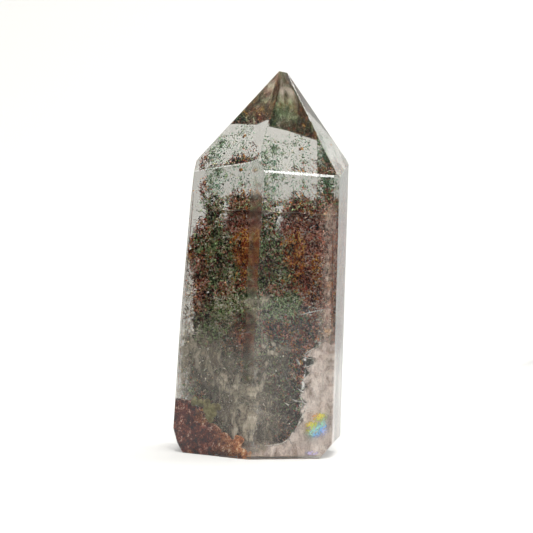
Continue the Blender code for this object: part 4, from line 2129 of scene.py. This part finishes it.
@dataclass(frozen=True)
class RainbowCrack(Inclusion):
    """The thin part of the crack, a small curved sheet with interference colours."""

    name: str = "rainbow_crack"
    finish: RainbowFinish = RainbowFinish()
    depth: float = 1.8 * MM
    half_wide: float = 3.2 * MM
    half_tall: float = 5.6 * MM
    # How far its right side is turned to the rear, and how far it bulges there.
    turn_deg: float = 25.0
    bulge: float = 0.6 * MM
    spacing: float = 0.12 * MM
    # Pixels of patches where the colours show: middle, half width and half height.
    patches: tuple[tuple[Pixel, float, float], ...] = (
        ((319, 417), 1.1 * MM, 0.6 * MM),
        ((312, 425), 1.0 * MM, 0.5 * MM),
        ((315, 431), 1.3 * MM, 0.9 * MM),
        ((322, 428), 0.7 * MM, 1.2 * MM),
        ((312, 453), 0.9 * MM, 0.3 * MM),
    )
    patch_strength: float = 1.6
    least_shown: float = 0.03
    # Pixels where the film is thinnest and thickest, and how much it thickens to the right.
    thin_end: Pixel = (312, 404)
    thick_end: Pixel = (318, 451)
    film_slant: float = 0.22
    margin: float = 0.2 * MM

    def shown(self, body: CrystalBody, places: np.ndarray) -> np.ndarray:
        """How well the colours show at each of these places."""
        shown = np.zeros(places.shape[:-1])
        for pixel, half_width, half_height in self.patches:
            centre = body.sight(pixel).behind_face(self.depth)
            du = (places[..., 0] - centre.x) / half_width
            dv = (places[..., 2] - centre.z) / half_height
            patch = self.patch_strength * np.exp(-(du**2) - dv**2)
            shown = np.maximum(shown, np.clip(patch, 0.0, 1.0))
        return shown

    def build(self, body: CrystalBody) -> bpy.types.Object:
        """Make the sheet. See Inclusion.build."""
        thin = body.sight(self.thin_end).behind_face(self.depth)
        thick = body.sight(self.thick_end).behind_face(self.depth)
        middle = (thin + thick) / 2
        turn = math.radians(self.turn_deg)
        right = Vector((math.cos(turn), math.sin(turn), 0.0))
        u, v = np.meshgrid(
            np.arange(-self.half_wide, self.half_wide, self.spacing),
            np.arange(-self.half_tall, self.half_tall, self.spacing),
        )
        deep = self.bulge * (u / self.half_wide) ** 2
        places = np.array(middle) + u[..., None] * np.array(right) + v[..., None] * np.array(UP)
        places = places + deep[..., None] * np.array((-right.y, right.x, 0.0))
        run = thick - thin
        along = (places - np.array(thin)) @ np.array(run) / run.length_squared
        shown = self.shown(body, places)
        values = {"film": along + self.film_slant * (u / self.half_wide), "milk": shown}
        kept = (shown > self.least_shown) & (body.depth_below_surface(places) > self.margin)
        return sheet_object(self.name, places, values, kept, self.finish.build())


# The studio.


@dataclass(frozen=True)
class PaperFinish(Finish):
    """Matt backdrop paper with a painted glow: it emits light, most of it right behind the stone."""

    name: str = "matt_backdrop_paper"
    paper: str = "8a8986"
    painted_glow: str = "fffefc"
    roughness: float = 0.9
    # The painted glow right behind the stone and far from it, its middle, and where it begins and ends
    # to fade.
    glow: float = 0.42
    floor_glow: float = 0.04
    glow_centre: Triple = (0.0, 1.0, 0.12)
    glow_radii: Range = (0.7, 1.5)
    # A painted shade strip up the back of the sweep, darker paper with less glow, right of what the
    # camera sees, which the right flat mirrors: how far sideways it runs for each metre back, how wide
    # it is in the same measure, and between which distances it fades in.
    gap_foot: float = 14.5 * MM
    gap_sideways: float = 0.27
    gap_half_widths: Range = (0.03, 0.06)
    gap_start: Range = (0.27, 0.6)
    gap_light: float = 0.25
    painted_shade_paper: str = "606060"

    def light(self, tree: Tree, place: Socket) -> Socket:
        """How light the paper is: 1 all over but for the painted shade strip."""
        parts = add_node(tree, "ShaderNodeSeparateXYZ", {"Vector": place})
        foot = math_node(tree, "SUBTRACT", parts.outputs["X"], self.gap_foot)
        sideways = math_node(tree, "DIVIDE", foot, parts.outputs["Y"])
        apart = how_far(tree, sideways, self.gap_sideways)
        beside = spread_out(tree, apart, *self.gap_half_widths, self.gap_light, 1.0)
        before = spread_out(tree, parts.outputs["Y"], *self.gap_start, 1.0, 0.0)
        return math_node(tree, "MAXIMUM", beside, before)

    def wire(self, tree: Tree, surface: Socket) -> None:
        """Add the nodes. See Finish.wire."""
        place = add_node(tree, "ShaderNodeTexCoord").outputs["Object"]
        near, end = self.glow_radii
        glow = add_node(
            tree,
            "ShaderNodeMapRange",
            {
                "interpolation_type": "SMOOTHSTEP",
                "Value": vector_measure(tree, "DISTANCE", place, self.glow_centre),
                "From Min": near,
                "From Max": end,
                "To Min": self.glow,
                "To Max": self.floor_glow,
            },
        )
        light = self.light(tree, place)
        strength = math_node(tree, "MULTIPLY", glow.outputs["Result"], light, clamp=True)
        # The paper itself emits the painted glow.
        painted_glow = {"Emission Color": linear_colour(self.painted_glow), "Emission Strength": strength}
        # Darker paper colour in the painted shade strip.
        dim, plain = linear_colour(self.painted_shade_paper), linear_colour(self.paper)
        colour = mixed_colour(tree, light, dim, plain)
        tree.links.new(principled(tree, colour, self.roughness, more=painted_glow), surface)


@dataclass(frozen=True)
class SoftBox:
    """A soft box that faces the stone: where it hangs, its width and height, and its watts."""

    name: str
    place: Triple
    size: Range
    power: float
    aimed_at: Triple = (0.0, 0.0, 35 * MM)

    def build(self) -> None:
        """Hang it."""
        data = bpy.data.lights.new(self.name, "AREA")
        data.shape = "RECTANGLE"
        data.size, data.size_y = self.size
        data.energy = self.power
        box = link_object(self.name, data)
        box.location = self.place
        aim = Vector(self.aimed_at) - Vector(self.place)
        box.rotation_mode = "QUATERNION"
        box.rotation_quaternion = aim.to_track_quat("-Z", "Y")


@dataclass(frozen=True)
class Studio:
    """A pale paper sweep, soft boxes round the stone and a bright room."""

    paper: PaperFinish = PaperFinish()
    boxes: tuple[SoftBox, ...] = (
        SoftBox("soft_box_above", (0.3, 0.4, 0.85), (0.7, 0.7), 16.0),
        SoftBox("soft_box_front", (0.0, -0.72, 0.85), (0.5, 0.4), 28.0),
        SoftBox("soft_box_right", (0.66, -0.51, 0.35), (0.35, 0.4), 6.5),
        SoftBox("soft_box_left", (-0.9, -0.1, 0.45), (0.3, 0.2), 0.7),
        SoftBox("white_card_left", (-0.9, 0.1, 0.1), (0.6, 0.6), 0.9),
    )
    room: str = "ffffff"
    room_strength: float = 0.25
    # A dark side of the room that the left front flat mirrors: azimuth, lean and half widths.
    dark_side: Range = (-74.0, 4.0)
    dark_half_widths: Range = (14.0, 30.0)
    dark_light: float = 0.06
    sweep_half_width: float = 1.6
    sweep_front: float = -1.2
    sweep_back: float = 1.0
    sweep_height: float = 1.6
    bend_radius: float = 0.5
    bend_steps: int = 24
    # The ground base touches the paper only here and there.
    air_gap: float = 0.03 * MM

    def build_room(self) -> None:
        """Light the room evenly, but for one dark side."""
        world = bpy.data.worlds.new("bright_room")
        world.use_nodes = True
        tree = world.node_tree
        place = add_node(tree, "ShaderNodeTexCoord").outputs["Generated"]
        facing = vector_measure(tree, "DOT_PRODUCT", place, outward_direction(*self.dark_side))
        inner, outer = (math.cos(math.radians(angle)) for angle in self.dark_half_widths)
        light = spread_out(tree, facing, outer, inner, self.room_strength, self.dark_light)
        background = tree.nodes["Background"]
        background.inputs["Color"].default_value = linear_colour(self.room)
        tree.links.new(light, background.inputs["Strength"])
        bpy.context.scene.world = world

    def build_sweep(self) -> bpy.types.Object:
        """The floor that curves up into a backdrop."""
        profile = [(self.sweep_front, 0.0)]
        middle = self.sweep_back - self.bend_radius
        for step in range(self.bend_steps + 1):
            turn = math.pi / 2 * step / self.bend_steps
            profile.append(
                (middle + self.bend_radius * math.sin(turn), self.bend_radius * (1 - math.cos(turn)))
            )
        profile.append((self.sweep_back, self.sweep_height))
        mesh = bpy.data.meshes.new("paper_sweep")
        points = [(side * self.sweep_half_width, y, z) for y, z in profile for side in (-1, 1)]
        faces = [(2 * i, 2 * i + 1, 2 * i + 3, 2 * i + 2) for i in range(len(profile) - 1)]
        mesh.from_pydata(points, [], faces)
        mesh.shade_smooth()
        sweep = link_object("paper_sweep", mesh)
        sweep.location.z = -self.air_gap
        mesh.materials.append(self.paper.build())
        return sweep

    def build(self) -> bpy.types.Object:
        """Set the studio up.

        Returns:
            The sweep, which is the stage.
        """
        self.build_room()
        for box in self.boxes:
            box.build()
        return self.build_sweep()


def set_light_paths() -> None:
    """Let light bend and bounce in the quartz often enough, and keep the colours plain."""
    scene = bpy.context.scene
    scene.cycles.max_bounces = 28
    scene.cycles.transmission_bounces = 26
    scene.cycles.glossy_bounces = 12
    scene.cycles.diffuse_bounces = 4
    scene.cycles.transparent_max_bounces = 48
    scene.cycles.sample_clamp_indirect = 6.0
    scene.view_settings.view_transform = "Standard"
    scene.view_settings.look = "None"


def main() -> None:
    """Build the stone's looks and the studio, in order."""
    logging.basicConfig(level=logging.INFO, format="%(name)s: %(message)s")
    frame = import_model()
    viewpoint = Viewpoint()
    viewpoint.build()
    set_light_paths()
    body = CrystalBody(frame["nodes"][NODE], viewpoint)
    quartz = PolishedQuartz().build()
    body.node.data.materials.clear()
    body.node.data.materials.append(quartz)
    pieces = Garden(body).build()
    milky = [veil.build(body) for veil in VEILS]
    milky += [MilkyRoot().build(body), FlankHaze().build(body)]
    milky += [CRACK_LIP.build(body), HealingThreads().build(body)]
    milky.append(RainbowCrack().build(body))
    dusting = PhantomLedge().build(body)
    rusty = [lump.build(body) for lump in LUMPS]
    rusty.append(EDGE_STAINS.build(body))
    pieces += [*milky, dusting, *rusty]
    for piece in pieces:
        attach(piece, BODY)
        LOG.info("%s: %d faces", piece.name, len(piece.data.polygons))
    Studio().build()


if __name__ == "__main__":
    main()
